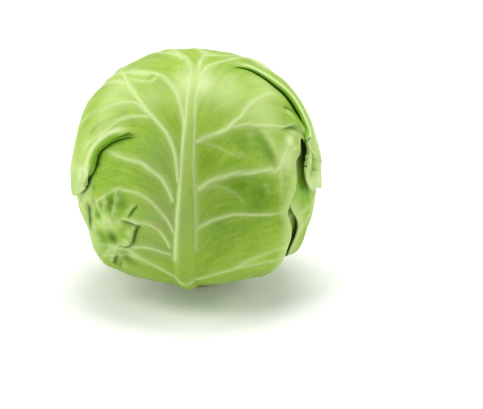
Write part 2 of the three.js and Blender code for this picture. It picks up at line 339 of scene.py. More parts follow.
class LeafSheet:
    """A smooth sheet of directions through a leaf's lines, which run from its midrib to its edge."""

    def __init__(self, plane: LeafPlane, midrib: Array, left: Array, right: Array) -> None:
        """Fits the lines.

        Args:
            plane: where the leaf lies.
            midrib: a place in degrees for each line, from the foot to the tip.
            left: the stations of each line on the left half.
            right: the stations of each line on the right half.
        """
        self.last_line = len(midrib) - 1
        starts = np.asarray(midrib, float)[:, None, :]
        self.halves = [
            self._coefficients(plane.at(np.concatenate([starts, np.asarray(rows, float)], axis=1)))
            for rows in (left, right)
        ]

    @staticmethod
    def _coefficients(points: Array) -> Array:
        """Fits centripetal Catmull-Rom curves.

        Args:
            points: one row of stations a curve.

        Returns:
            Four cubic coefficients for each stretch between stations.
        """
        first, last = 2 * points[:, :1] - points[:, 1:2], 2 * points[:, -1:] - points[:, -2:-1]
        p = np.concatenate([first, points, last], axis=1)
        step = np.sqrt(np.linalg.norm(np.diff(p, axis=1), axis=2))[..., None]
        x0, x1, x2, x3 = p[:, :-3], p[:, 1:-2], p[:, 2:-1], p[:, 3:]
        d0, d1, d2 = step[:, :-2], step[:, 1:-1], step[:, 2:]
        t1 = d1 * ((x1 - x0) / d0 - (x2 - x0) / (d0 + d1) + (x2 - x1) / d1)
        t2 = d1 * ((x2 - x1) / d1 - (x3 - x1) / (d1 + d2) + (x3 - x2) / d2)
        return np.stack([x1, t1, -3 * x1 + 3 * x2 - 2 * t1 - t2, 2 * x1 - 2 * x2 + t1 + t2], axis=2)

    def at(self, u: Array, t: Array) -> Array:
        """Directions on the sheet.

        Args:
            u: share of the way from the midrib to the edge, negative on the left half.
            t: place along the leaf, from 0 at the first line to last_line at the last.

        Returns:
            One unit vector a pair.
        """
        u, t = np.broadcast_arrays(np.asarray(u, float), np.asarray(t, float))
        share = np.abs(u) * STATIONS
        segment = np.minimum(share.astype(int), STATIONS - 1)
        w = (share - segment)[..., None]
        i = np.clip(t.astype(int), 0, self.last_line - 1)
        f = t - i
        weights = (
            (-f + 2 * f**2 - f**3) / 2,
            (2 - 5 * f**2 + 3 * f**3) / 2,
            (f + 4 * f**2 - 3 * f**3) / 2,
            (-(f**2) + f**3) / 2,
        )
        left, right = self.halves
        total = np.zeros(u.shape + (3,))
        for n, weight in enumerate(weights):
            line = np.clip(i - 1 + n, 0, self.last_line)
            c = np.where((u < 0)[..., None, None], left[line, segment], right[line, segment])
            c0, c1, c2, c3 = np.moveaxis(c, -2, 0)
            total += weight[..., None] * (c0 + w * (c1 + w * (c2 + w * c3)))
        return unit(total)

    def line(self, side: Side, t: float, start: float = 0.0, end: float = 1.0, count: int = 40) -> Array:
        """Directions along one line of the leaf."""
        return self.at(side.value * np.linspace(max(start, 1e-6), end, count), np.full(count, t))

    def midrib(self, count: int = 90) -> Array:
        """Directions along the midrib."""
        return self.at(np.zeros(count), np.linspace(0, self.last_line, count))

    def samples(self) -> Array:
        """Directions spread closely over the leaf, to measure how near it is."""
        u, t = np.meshgrid(np.linspace(-1, 1, 61), np.linspace(0, self.last_line, 5 * self.last_line + 1))
        return self.at(u.ravel(), t.ravel())


@dataclass(frozen=True)
class Line:
    """A line on the head's surface, smoothed through a few places."""

    points: Array

    @staticmethod
    def smooth(directions: Array, extend: float = 0.0) -> "Line":
        """A smooth line through directions.

        Args:
            directions: the places it passes through, in order.
            extend: millimetres that it carries straight on past its end.

        Returns:
            The line, with its points on a ball of the surface's radius.
        """
        d = unit(np.asarray(directions, float))
        if extend > 0:
            ahead = unit(d[-1] - d[-2] * (d[-1] @ d[-2]))
            steps = np.arange(EXTEND_STEP, extend + EXTEND_STEP, EXTEND_STEP) / SURFACE_RADIUS
            d = np.concatenate([d, [d[-1] * math.cos(a) + ahead * math.sin(a) for a in steps]])
        p = d * SURFACE_RADIUS
        p = np.concatenate([[2 * p[0] - p[1]], p, [2 * p[-1] - p[-2]]])
        out = []
        for a, b, c, e in zip(p[:-3], p[1:-2], p[2:-1], p[3:]):
            count = max(2, int(np.linalg.norm(c - b) / POINT_SPACING))
            f = (np.arange(count) / count)[:, None]
            bend, twist = 2 * a - 5 * b + 4 * c - e, 3 * b - 3 * c + e - a
            out.append(0.5 * (2 * b + (c - a) * f + bend * f**2 + twist * f**3))
        out.append(p[-2][None])
        return Line(unit(np.concatenate(out)) * SURFACE_RADIUS)

    def nearest(self, places: Array, reach: float) -> tuple[Array, Array, Array, Array, Array]:
        """How places on the head lie to the line.

        Args:
            places: points on a ball of the surface's radius.
            reach: places further away than this are left out.

        Returns:
            The indices of the places within reach, their distances, the share of the line's length at the
            nearest point, the side they lie on (1 on the right hand of the line's way, seen from outside, or
            -1) and the unit vector to that right hand.
        """
        middle = (self.points.min(0) + self.points.max(0)) / 2
        half = np.linalg.norm(self.points - middle, axis=1).max()
        index = np.nonzero(np.linalg.norm(places - middle, axis=1) < half + reach)[0]
        p = places[index]
        lengths = np.linalg.norm(np.diff(self.points, axis=0), axis=1)
        run = np.concatenate([[0], np.cumsum(lengths)])
        best = np.full(len(p), np.inf)
        share = np.zeros(len(p))
        right = np.zeros((len(p), 3))
        offset = np.zeros((len(p), 3))
        for k, (a, b) in enumerate(zip(self.points[:-1], self.points[1:])):
            ab = b - a
            f = np.clip(((p - a) @ ab) / (ab @ ab), 0, 1)
            away = p - a - f[:, None] * ab
            dist = np.linalg.norm(away, axis=1)
            closer = dist < best
            best[closer] = dist[closer]
            share[closer] = (run[k] + f[closer] * lengths[k]) / run[-1]
            hand = np.cross(ab, a)
            right[closer] = hand / np.linalg.norm(hand)
            offset[closer] = away[closer]
        keep = best < reach
        side = np.where(np.sum(offset * right, axis=1) >= 0, 1.0, -1.0)
        return index[keep], best[keep], share[keep], side[keep], right[keep]


@dataclass(frozen=True)
class VeinSize:
    """How wide, high and pale a vein is at its start and its end, and how high the blade swells under it.

    The shoulder's width is a multiple of the vein's, and its height a share of the vein's.
    """

    width: tuple[float, float]
    height: tuple[float, float]
    strength: tuple[float, float]
    crest: float = 0.0
    crest_width: float = 8.0
    crest_full: float = 0.2
    shoulder_width: float = 3.4
    shoulder_height: float = 0.22
    halo: float = 0.8
    height_fades_from: float = 0.85
    colour_fades_from: float = 0.8
    colour_fade: float = 0.6
    reach: float = 20.0


class VeinKind(Enum):
    """The sizes of the veins: those that the front leaf shows, and those of the leaves' plain pattern."""

    STRAND = VeinSize((1.4, 1.2), (0.6, 0.4), (0.75, 0.9))
    EDGE = VeinSize((1.1, 1.2), (0.5, 0.4), (0.35, 0.85))
    MAIN = VeinSize((1.4, 1.1), (1.0, 0.6), (0.85, 0.75), 1.2)
    SIDE = VeinSize((1.1, 0.8), (0.7, 0.3), (0.75, 0.55), 0.7)
    FAINT = VeinSize((1.0, 0.7), (0.4, 0.2), (0.35, 0.2), 0.3)
    PUCKER = VeinSize((1.7, 2.0), (1.7, 1.2), (0.3, 0.3))
    PLAIN = VeinSize((1.5, 0.7), (1.5, 0.35), (0.8, 0.4), 0.9)
    FINE = VeinSize((1.3, 0.9), (0.6, 0.25), (0.45, 0.2))
    FORK = VeinSize((1.5, 1.0), (0.7, 0.2), (0.6, 0.3))


@dataclass(frozen=True)
class Vein:
    """A raised vein that narrows along its way."""

    line: Line
    kind: VeinKind

    @staticmethod
    def seen(kind: VeinKind, extend: float, *pixels: Pixel) -> "Vein":
        """A vein through places that the photograph's frame shows, carried on past its end."""
        return Vein(Line.smooth(PHOTO.directions(pixels), extend), kind)


@dataclass(frozen=True)
class Crease:
    """A groove in the blade with a raised lip on one hand of its way.

    Runs, reach and bands are multiples of its width. A band is (place across the crease, width). The gloomy
    band has a second width, which it gains away from the crease's ends. The shade and the gloom are painted
    shade along the groove, and the lit band is a painted highlight along the lip.
    """

    line: Line
    depth: float
    width: float
    lip: float
    hand: Side
    shade: float
    gloom: float
    full_from: float = 0.3
    full_to: float = 0.65
    reach: float = 9.0
    step_run: float = 0.45
    lip_run: float = 2.6
    groove_run: float = 1.6
    shade_band: tuple[float, float] = (-0.6, 1.1)
    gloom_band: tuple[float, float, float] = (-0.35, 0.22, 0.26)
    lit_band: tuple[float, float] = (1.2, 1.0)
    lit: float = 0.4

    @staticmethod
    def seen(depth: float, width: float, lip: float, hand: Side, shade: float, gloom: float,
             *pixels: Pixel) -> "Crease":
        """A crease through places that the photograph's frame shows."""
        return Crease(Line.smooth(PHOTO.directions(pixels)), depth, width, lip, hand, shade, gloom)


@dataclass(frozen=True)
class Spot:
    """A soft-edged round place on the blade, and how much of something it has in its middle."""

    pixel: Pixel
    size: float
    amount: float

    def over(self, places: Array) -> Array:
        """How much each place has, on a ball of the surface's radius."""
        middle = PHOTO.directions([self.pixel])[0] * SURFACE_RADIUS
        return self.amount * bell(np.linalg.norm(places - middle, axis=1), self.size)


def spots(*rows: tuple[float, float, float, float]) -> tuple[Spot, ...]:
    """Spots from rows of pixel across, pixel down, size in millimetres and amount."""
    return tuple(Spot((x, y), size, amount) for x, y, size, amount in rows)


StainsAndShades = dict[StainAndShade, tuple[Spot, ...]]


@dataclass(frozen=True)
class Pleat:
    """A lapped fold: the blade beyond a line of the leaf rolls over the blade before it.

    The line, the lift and the overhang are stops of (share of the way to the edge, value). The lead is how
    much of the way the line starts before the lift. A run is the millimetres over which something fades away.
    The fold is painted with shade inside it, under its edge and along its roll, and with a highlight
    along its crest.
    """

    side: Side
    line: tuple[Stop, ...]
    lift: tuple[Stop, ...]
    overhang: tuple[Stop, ...]
    roll: float
    reach: float
    shadow: float
    tuck: float = 3.0
    turn: float = 5.0
    full_turn_lift: float = 4.0
    least_turn: float = 0.15
    full_lift: float = 1.6
    edge_lift: float = 0.3
    lead: float = 0.08
    felt: float = 90.0
    wander: float = 0.3
    wander_size: float = 30.0
    upper_run: float = 20.0
    lower_run: float = 9.0
    hollow: float = 0.9
    hollow_run: float = 2.5
    frill: float = 0.0
    frill_pitch: float = 13.0
    frill_start: tuple[float, float] = (0.6, 0.85)
    frill_run: float = 7.0
    frill_lift: float = 0.6
    frill_lag: float = 1.3
    gloom: float = 0.8
    least_shadow: float = 0.2
    mouth: tuple[float, float] = (0.86, 0.97)
    mouth_light: float = 0.75
    flush: float = 0.9
    roll_shade_fades_from: float = 0.4
    roll_shade_turning: float = 0.6
    roll_shade_below: float = 0.7
    roll_shade_run: float = 4.0
    rim_place: float = 1.4
    rim_width: float = 2.6
    rim_pale: float = 0.8


@dataclass(frozen=True)
class Drape:
    """The free edge of a flap, laid where the photograph's frame shows it.

    Each stop is (line of the leaf, pixel across, pixel down, millimetres off the head). The first and last
    stops leave the edge where it is. The pull of the edge is felt over a share of the half leaf's width. It
    is the mean of the pulls a little before and after each place, so that it has no corners.
    """

    side: Side
    stops: tuple[tuple[float, float, float, float], ...]
    reach: float = 0.25
    near: tuple[float, ...] = (-0.05, -0.02, 0.02, 0.05)


@dataclass
class Relief:
    """What happens to each vertex of a blade: how far it rises, how far it slides, and how it is coloured."""

    rise: Array
    ridge: Array
    slide: Array
    vein: Array
    halo: Array
    stains_and_shades: dict[StainAndShade, Array]

    @staticmethod
    def flat(count: int) -> "Relief":
        """Makes a relief that changes nothing.

        Args:
            count: how many vertices it has.

        Returns:
            The relief.
        """
        rise, ridge, vein, halo = np.zeros((4, count))
        stains_and_shades = {stain_and_shade: np.zeros(count) for stain_and_shade in StainAndShade}
        return Relief(rise, ridge, np.zeros((count, 3)), vein, halo, stains_and_shades)

    def add_vein(self, places: Array, vein: Vein) -> None:
        """Raises and whitens the blade along a vein.

        Args:
            places: the blade's vertices, on a ball of the surface's radius.
            vein: the vein.
        """
        size = vein.kind.value
        index, dist, share, _, _ = vein.line.nearest(places, size.reach)
        if not len(index):
            return
        w = through(size.width, share)
        fade = 1 - smoothstep(share, size.height_fades_from, 1)
        ridge, shoulder = bell(dist, w), bell(dist, size.shoulder_width * w)
        crest = size.crest * bell(dist, size.crest_width) * smoothstep(share, 0, size.crest_full)
        height = through(size.height, share) * fade
        raise_to(self.ridge, height * (ridge + size.shoulder_height * shoulder) + crest * fade, index)
        strength = through(size.strength, share)
        strength *= 1 - size.colour_fade * smoothstep(share, size.colour_fades_from, 1)
        raise_to(self.vein, strength * ridge, index)
        raise_to(self.halo, strength * shoulder * size.halo, index)

    def add_crease(self, places: Array, crease: Crease) -> None:
        """Raises the blade like a low step on one hand of the crease and sinks it on the other.

        Args:
            places: the blade's vertices, on a ball of the surface's radius.
            crease: the crease.
        """
        width = crease.width
        index, dist, share, side, _ = crease.line.nearest(places, crease.reach * width)
        if not len(index):
            return
        ends = smoothstep(share, 0, crease.full_from) * (1 - smoothstep(share, crease.full_to, 1))
        signed = dist * side * crease.hand.value
        step = 0.5 + 0.5 * np.tanh(signed / (crease.step_run * width))
        top = crease.lip * step * fading(signed, crease.lip_run * width)
        bottom = crease.depth * (1 - step) * fading(-signed, crease.groove_run * width)
        self.rise[index] += ends * (top - bottom)
        # painted shade in a band along the groove
        place, spread = crease.shade_band
        dark = bell(signed - place * width, spread * width)
        raise_to(self.stains_and_shades[StainAndShade.DEEP], crease.shade * ends * dark, index)
        # painted shade: a thin dark line down in the groove
        place, spread, gain = crease.gloom_band
        line = bell(signed - place * width, width * (spread + gain * ends))
        raise_to(self.stains_and_shades[StainAndShade.CREVICE_SHADE], crease.gloom * ends * line, index)
        # painted highlight in a band along the lit side of the lip
        place, spread = crease.lit_band
        lit = bell(signed - place * width, spread * width)
        raise_to(self.stains_and_shades[StainAndShade.PALE], crease.lit * crease.shade * ends * lit, index)

    def add_pleat(self, places: Array, u: Array, t: Array, sheet: LeafSheet, pleat: Pleat) -> None:
        """Laps the blade over itself along a line of the sheet.

        Args:
            places: the blade's vertices, on a ball of the surface's radius.
            u: their share of the way from the midrib to the edge, negative on the left half.
            t: their place along the leaf.
            sheet: the leaf's sheet of directions.
            pleat: the fold.
        """
        share = np.linspace(pleat.lift[0][0] - pleat.lead, 1.0, 90)
        line = Line(sheet.at(pleat.side.value * share, at_stops(pleat.line, share)) * SURFACE_RADIUS)
        index, dist, run, _, right = line.nearest(places, pleat.felt)
        own = u[index] * pleat.side.value > 0
        index, dist, right, run = index[own], dist[own], right[own], run[own]
        s = np.abs(u[index])
        lift, over = at_stops(pleat.lift, s), at_stops(pleat.overhang, s)
        lapped = smoothstep(lift, 0, pleat.full_lift)
        tuck = pleat.tuck * lapped
        above = t[index] >= at_stops(pleat.line, s)
        tau = np.where(above, dist, -dist)
        wander = 1 + pleat.wander * fractal(places[index], pleat.wander_size, 1, 3)
        length = np.linalg.norm(np.diff(line.points, axis=0), axis=1).sum()
        phase = run * length / pleat.frill_pitch * 2 * math.pi
        frill = pleat.frill * smoothstep(s, *pleat.frill_start) * fading(np.abs(tau), pleat.frill_run)
        over = over * wander + frill * np.sin(phase)
        lift = lift * wander + frill * pleat.frill_lift * np.sin(phase + pleat.frill_lag)
        turn_share = np.clip(lift / pleat.full_turn_lift, pleat.least_turn, 1)
        w = np.maximum(pleat.turn * lapped * turn_share, 1e-6)
        turning = ~above & (-tau <= w)
        q = np.clip(-tau / w, 0, 1) * (math.pi / 2)
        up = np.sin(np.clip(tau / pleat.roll, 0, 1) * math.pi / 2)
        rolled = pleat.edge_lift + (1 - pleat.edge_lift) * up
        x_top = tau - over * fading(tau, pleat.upper_run)
        x_turn = -over + (over + tuck) * (1 - np.cos(q))
        x_low = tau + (w + tuck) * fading(-tau - w, pleat.lower_run)
        gap = np.maximum(-over - x_low, 0)
        h_top = lift * rolled * (1 - smoothstep(tau, pleat.roll, pleat.reach))
        h_turn = pleat.edge_lift * lift * (1 - np.sin(q))
        h_low = -pleat.hollow * lapped * fading(gap, pleat.hollow_run)
        self.rise[index] += np.select([above, turning], [h_top, h_turn], h_low)
        down = right * pleat.side.value
        self.slide[index] += down * (tau - np.select([above, turning], [x_top, x_turn], x_low))[:, None]
        # painted shade inside the fold, lighter at its mouth, and shadow painted under its edge
        inside = 1 - pleat.mouth_light * smoothstep(s, *pleat.mouth)
        under = pleat.gloom * fading(gap, pleat.least_shadow + pleat.shadow * lift)
        dark = np.select([above, turning], [np.zeros(len(s)), inside], under)
        raise_to(self.stains_and_shades[StainAndShade.CREVICE_SHADE], dark * lapped, index)
        # painted shade on the roll as it turns under, saturated green, and a little past the fold's edge
        rolling = 1 - smoothstep(tau, pleat.roll_shade_fades_from * pleat.roll, pleat.roll)
        below = pleat.roll_shade_below * fading(gap, pleat.roll_shade_run)
        band = np.where(above, rolling, np.where(turning, pleat.roll_shade_turning, below))
        raise_to(self.stains_and_shades[StainAndShade.LUSH], pleat.flush * (band * lapped), index)
        # painted highlight along the crest of the roll
        rim = np.where(above, bell(tau - pleat.rim_place * pleat.roll, pleat.rim_width), 0) * lapped
        raise_to(self.stains_and_shades[StainAndShade.PALE], pleat.rim_pale * rim, index)

    def add_drape(self, places: Array, u: Array, t: Array, drape: Drape) -> None:
        """Lays a stretch of the leaf's edge where the drape says.

        Args:
            places: the blade's vertices, on a ball of the surface's radius.
            u: their share of the way from the midrib to the edge, negative on the left half.
            t: their place along the leaf.
            drape: the stretch of edge.
        """
        stops = np.array(drape.stops)
        across = np.abs(u - drape.side.value)
        edge = np.array([np.argmin(across + np.abs(t - line)) for line in stops[:, 0]])
        here = places[edge] + self.slide[edge]
        move = PHOTO.directions(stops[:, 1:3], stops[:, 3]) * SURFACE_RADIUS - unit(here) * SURFACE_RADIUS
        climb = stops[:, 3] - self.rise[edge]
        move[[0, -1]] = 0
        climb[[0, -1]] = 0
        weight = smoothstep(u * drape.side.value, 1 - drape.reach, 1) / len(drape.near)
        for near in drape.near:
            shift = np.stack([np.interp(t + near, stops[:, 0], move[:, k]) for k in range(3)], axis=1)
            self.slide += weight[:, None] * shift
            self.rise += weight * np.interp(t + near, stops[:, 0], climb)

    def add_stains_and_shades(self, places: Array, stains_and_shades: StainsAndShades) -> None:
        """Colours the blade round each spot.

        Args:
            places: the blade's vertices, on a ball of the surface's radius.
            stains_and_shades: the spots of each mark: real stains, painted shade and painted highlights.
        """
        for stain_and_shade, found in stains_and_shades.items():
            for spot in found:
                raise_to(self.stains_and_shades[stain_and_shade], spot.over(places))


def mesh_object(name: str, bm: bmesh.types.BMesh, points: Array | None = None) -> bpy.types.Object:
    """Makes a smooth-shaded object of a bmesh, and frees the bmesh.

    Args:
        name: the piece's name.
        bm: its faces.
        points: new places of its vertices in millimetres, or None if the bmesh is in millimetres already.

    Returns:
        The object, at the origin, in metres.
    """
    mesh = bpy.data.meshes.new(name)
    bm.to_mesh(mesh)
    bm.free()
    if points is None:
        points = np.array([v.co for v in mesh.vertices], float)
    mesh.vertices.foreach_set("co", (points * MILLIMETRE).astype(np.float32).ravel())
    mesh.polygons.foreach_set("use_smooth", np.ones(len(mesh.polygons), bool))
    mesh.update()
    piece = bpy.data.objects.new(name, mesh)
    bpy.context.scene.collection.objects.link(piece)
    return piece


def set_attribute(piece: bpy.types.Object, name: str, values: Array) -> None:
    """Stores one number a vertex, for the materials to read."""
    layer = piece.data.attributes.new(name, "FLOAT", "POINT")
    layer.data.foreach_set("value", np.clip(values, 0, 1).astype(np.float32))


def set_leaf_map(piece: bpy.types.Object, across: Array, along: Array) -> None:
    """Gives a leaf a map of its own length and width, for patterns that follow its veins.

    Args:
        piece: the leaf's object.
        across: each vertex's place across the leaf.
        along: each vertex's place along it.
    """
    corners = np.zeros(len(piece.data.loops), np.int32)
    piece.data.loops.foreach_get("vertex_index", corners)
    layer = piece.data.uv_layers.new(name="leaf")
    layer.data.foreach_set("uv", np.stack([across, along], axis=1)[corners].astype(np.float32).ravel())


def hand_over(piece: bpy.types.Object, node: str) -> None:
    """Lets a piece stand for its CAD node and ride with the head.

    Args:
        piece: the finished piece.
        node: the CAD node that it replaces.
    """
    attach(piece, "root")
    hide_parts(node)
    LOG.info("%s: %d faces", piece.name, len(piece.data.polygons))


class Channel:
    """A value in a material. Python arithmetic on it adds Math nodes."""

    def __init__(self, paint: "Paint", socket: bpy.types.NodeSocket) -> None:
        """Wraps a socket of a node that the paint made."""
        self.paint = paint
        self.socket = socket

    def _math(self, operation: str, *values: "Channel | float") -> "Channel":
        """One Math node on the given values."""
        return self.paint.node("ShaderNodeMath", {"operation": operation}, dict(enumerate(values)))

    def __add__(self, other: "Channel | float") -> "Channel":
        """Sum."""
        return self._math("ADD", self, other)

    __radd__ = __add__

    def __mul__(self, other: "Channel | float") -> "Channel":
        """Product."""
        return self._math("MULTIPLY", self, other)

    __rmul__ = __mul__

    def __sub__(self, other: "Channel | float") -> "Channel":
        """Difference."""
        return self._math("SUBTRACT", self, other)

    def __rsub__(self, other: "Channel | float") -> "Channel":
        """Difference from a number."""
        return self._math("SUBTRACT", other, self)

    def between(self, low: float, high: float) -> "Channel":
        """A smooth step from 0 at low to 1 at high."""
        sockets = {"Value": self, "From Min": low, "From Max": high}
        return self.paint.node("ShaderNodeMapRange", {"interpolation_type": "SMOOTHSTEP"}, sockets)


class Paint:
    """Builds one material, with a Principled shader at its end."""

    def __init__(self, name: str) -> None:
        """Starts an empty material.

        Args:
            name: the material's name.
        """
        self.material = bpy.data.materials.new(name)
        self.material.use_nodes = True
        self.tree = self.material.node_tree
        self.tree.nodes.clear()
        self.shader = self.tree.nodes.new("ShaderNodeBsdfPrincipled")
        output = self.tree.nodes.new("ShaderNodeOutputMaterial")
        self.tree.links.new(self.shader.outputs["BSDF"], output.inputs["Surface"])

    def node(self, kind: str, settings: dict, sockets: dict, output: int | str = 0) -> Channel:
        """Adds a node.

        Args:
            kind: the node's type.
            settings: its properties.
            sockets: a value or a channel for each input, by name or number.
            output: which of its outputs is returned.

        Returns:
            The output as a channel.
        """
        made = self.tree.nodes.new(kind)
        for name, value in settings.items():
            setattr(made, name, value)
        for name, value in sockets.items():
            self._feed(made.inputs[name], value)
        return Channel(self, made.outputs[output])

    def _feed(self, socket: bpy.types.NodeSocket, value: object) -> None:
        """Gives a socket its value.

        Args:
            socket: an input of one of the material's nodes.
            value: a channel to link, or the socket's own value.
        """
        if isinstance(value, Channel):
            self.tree.links.new(value.socket, socket)
        else:
            socket.default_value = value

    def mix(self, a: "Channel | Colour", b: "Channel | Colour", factor: "Channel | float") -> Channel:
        """Colour a turning into colour b as the factor goes from 0 to 1."""
        settings = {"data_type": "RGBA", "clamp_factor": True}
        return self.node("ShaderNodeMix", settings, {0: factor, 6: a, 7: b}, 2)

    def place(self) -> Channel:
        """Object coordinates."""
        return self.node("ShaderNodeTexCoord", {}, {}, "Object")

    def attribute(self, name: str) -> Channel:
        """A number that the piece's vertices carry."""
        return self.node("ShaderNodeAttribute", {"attribute_name": name}, {}, "Fac")

    def cloud(self, place: Channel, millimetres: float, detail: float) -> Channel:
        """Noise with swellings of a given size, from 0 to 1."""
        sockets = {"Vector": place, "Scale": 1000 / millimetres, "Detail": detail}
        return self.node("ShaderNodeTexNoise", {}, sockets, "Fac")

    def moved(self, place: Channel, millimetres: float, reach: float) -> Channel:
        """Coordinates pushed about by noise, so that a pattern on them wanders.

        Args:
            place: the coordinates.
            millimetres: the size of the noise's swellings.
            reach: how many millimetres it pushes at most, on both sides together.

        Returns:
            The moved coordinates.
        """
        kind = "ShaderNodeVectorMath"
        noise_sockets = {"Vector": place, "Scale": 1000 / millimetres, "Detail": 2.0}
        push = self.node("ShaderNodeTexNoise", {}, noise_sockets, "Color")
        centred = self.node(kind, {"operation": "SUBTRACT"}, {0: push, 1: (0.5, 0.5, 0.5)})
        scaled = self.node(kind, {"operation": "SCALE"}, {0: centred, "Scale": reach * MILLIMETRE})
        return self.node(kind, {"operation": "ADD"}, {0: place, 1: scaled})

    def net(self, place: Channel, millimetres: float, thin: float) -> Channel:
        """A net of fine lines.

        Args:
            place: the coordinates.
            millimetres: the size of its cells.
            thin: how far its lines reach into the cells, as a share of their size.

        Returns:
            1 on a line and 0 between lines.
        """
        sockets = {"Vector": place, "Scale": 1000 / millimetres}
        edge = self.node("ShaderNodeTexVoronoi", {"feature": "DISTANCE_TO_EDGE"}, sockets, "Distance")
        return 1 - edge.between(0.0, thin)

    def finish(
        self, colour: Channel, roughness: Channel, height: Channel, depth: float, **fixed: object
    ) -> bpy.types.Material:
        """Feeds the shader.

        Args:
            colour: the base colour.
            roughness: the roughness.
            height: what the bump follows.
            depth: millimetres of the bump from height 0 to 1.
            fixed: values of the shader's other sockets, by name with underscores for spaces.

        Returns:
            The finished material.
        """
        sockets = {"Height": height, "Strength": 1.0, "Distance": depth * MILLIMETRE}
        bump = self.node("ShaderNodeBump", {}, sockets)
        self._feed(self.shader.inputs["Base Color"], colour)
        self._feed(self.shader.inputs["Roughness"], roughness)
        self._feed(self.shader.inputs["Normal"], bump)
        for name, value in fixed.items():
            self.shader.inputs[name.replace("_", " ")].default_value = value
        return self.material


def srgb(red: int, green: int, blue: int) -> Colour:
    """A display colour from 0 to 255 as the linear colour that shaders take."""
    shares = [x / 255 for x in (red, green, blue)]
    return (*(c / 12.92 if c <= 0.04045 else ((c + 0.055) / 1.055) ** 2.4 for c in shares), 1.0)


@dataclass(frozen=True)
class LeafFinish:
    """The skin of a leaf: mottled green with pale veins, a fine net between them and a waxy bloom.

    Sizes are millimetres. The streaks follow the leaf's own map, so many times over its width and length.
    """

    name: str
    fresh: Colour = srgb(124, 160, 34)
    light: Colour = srgb(150, 182, 66)
    # the leaf's own darker green, and painted shade in creases, hollows and away from the light
    deep: Colour = srgb(80, 122, 4)
    # the leaf's own richer green, and painted shade on rolled folds, in valleys and in pockets
    lush: Colour = srgb(106, 162, 6)
    # the leaf's own paler green, and painted highlights on crests, bulges and lit edges
    pale: Colour = srgb(202, 218, 156)
    bloom: Colour = srgb(126, 154, 80)
    vein: Colour = srgb(194, 210, 148)
    rib: Colour = srgb(160, 188, 96)
    # painted shade in creases, crevices and under lapped edges
    fold: Colour = srgb(46, 92, 0)
    brown: Colour = srgb(168, 140, 84)
    mottle: float = 55.0
    speckle: float = 9.0
    streaks: tuple[float, float, float] = (5, 6, 1)
    net_strength: float = 0.1
    net_sway: tuple[float, float] = (5.0, 2.4)
    coarse_net: tuple[float, float] = (6.5, 0.09)
    fine_net: tuple[float, float] = (2.3, 0.12)
    halo_strength: float = 0.28
    grain: float = 1.1
    bump: float = 0.3

    def material(self) -> bpy.types.Material:
        """Builds the finish.

        Returns:
            The material, which reads the stains, painted shade and painted highlights, veins and rib of the
            piece that carries it.
        """
        paint = Paint(self.name)
        place = paint.place()
        leaf = paint.node("ShaderNodeUVMap", {"uv_map": "leaf"}, {})
        streaked = paint.node("ShaderNodeMapping", {}, {"Vector": leaf, "Scale": self.streaks})
        streak_sockets = {"Vector": streaked, "Scale": 1.0, "Detail": 2.5, "Distortion": 0.6}
        streak = paint.node("ShaderNodeTexNoise", {}, streak_sockets, "Fac")
        wide = paint.cloud(place, self.mottle, 3).between(0.36, 0.66)
        small = paint.cloud(place, self.speckle, 3).between(0.3, 0.7)
        colour = paint.mix(self.fresh, self.light, 0.65 * wide + 0.35 * streak.between(0.35, 0.7))
        # darker green: the leaf's own mottling and streaks, and painted shade
        deep = paint.attribute("deep") * (0.7 + 0.3 * small) + 0.1 * streak.between(0.6, 0.35)
        colour = paint.mix(colour, self.deep, deep)
        # paler green: the leaf's own, and painted highlights
        colour = paint.mix(colour, self.pale, paint.attribute("pale"))
        colour = paint.mix(colour, self.bloom, paint.attribute("bloom"))
        swaying = paint.moved(place, *self.net_sway)
        net = paint.net(swaying, *self.coarse_net) * 0.6 + paint.net(swaying, *self.fine_net) * 0.4
        colour = paint.mix(colour, self.vein, net * self.net_strength)
        colour = paint.mix(colour, self.rib, paint.attribute("rib"))
        colour = paint.mix(colour, self.vein, paint.attribute("halo") * self.halo_strength)
        colour = paint.mix(colour, self.vein, paint.attribute("vein"))
        # richer green: the leaf's own, and painted shade along folds and in valleys
        colour = paint.mix(colour, self.lush, paint.attribute("lush"))
        # painted shade in creases, crevices and under lapped edges
        colour = paint.mix(colour, self.fold, paint.attribute("fold"))
        colour = paint.mix(colour, self.brown, paint.attribute("brown") * small)
        roughness = 0.38 + 0.12 * small + 0.12 * paint.attribute("bloom") + 0.4 * paint.attribute("fold")
        height = 0.4 * net + 0.3 * small + 0.2 * streak + 0.1 * paint.cloud(place, self.grain, 2)
        return paint.finish(
            colour, roughness, height, self.bump,
            IOR=1.42, Specular_IOR_Level=0.12, Subsurface_Weight=0.08,
            Subsurface_Radius=(0.5, 1.0, 0.2), Subsurface_Scale=0.003,
        )


@dataclass(frozen=True)
class StemFinish:
    """The stub of the stem: pale green rind with fibres, and a cut face with a ring and a paler pith.

    Sizes are millimetres.
    """

    name: str
    rind: Colour = srgb(170, 186, 112)
    scar: Colour = srgb(140, 138, 80)
    flesh: Colour = srgb(210, 210, 170)
    ring: Colour = srgb(162, 168, 106)
    dry: Colour = srgb(160, 136, 92)
    fibre: float = 1.6
    fibre_stretch: tuple[float, float, float] = (1, 1, 0.12)
    blotch: float = 12.0
    bump: float = 0.35

    def material(self) -> bpy.types.Material:
        """Builds the finish.

        Returns:
            The material, which reads the scars, the cut face, its ring and its edge.
        """
        paint = Paint(self.name)
        place = paint.place()
        stretched = paint.node("ShaderNodeMapping", {}, {"Vector": place, "Scale": self.fibre_stretch})
        fibre = paint.cloud(stretched, self.fibre, 3)
        blotch = paint.cloud(place, self.blotch, 3).between(0.4, 0.7)
        rind = paint.mix(self.rind, self.scar, paint.attribute("scar") * 0.7 + blotch * 0.2)
        face = paint.mix(self.flesh, self.ring, paint.attribute("ring"))
        face = paint.mix(face, self.dry, blotch * 0.35 + paint.attribute("edge") * 0.4)
        colour = paint.mix(rind, face, paint.attribute("cut"))
        roughness, height = 0.55 + 0.15 * fibre, fibre + 0.5 * blotch
        return paint.finish(
            colour, roughness, height, self.bump, Subsurface_Weight=0.1, Subsurface_Scale=0.003
        )


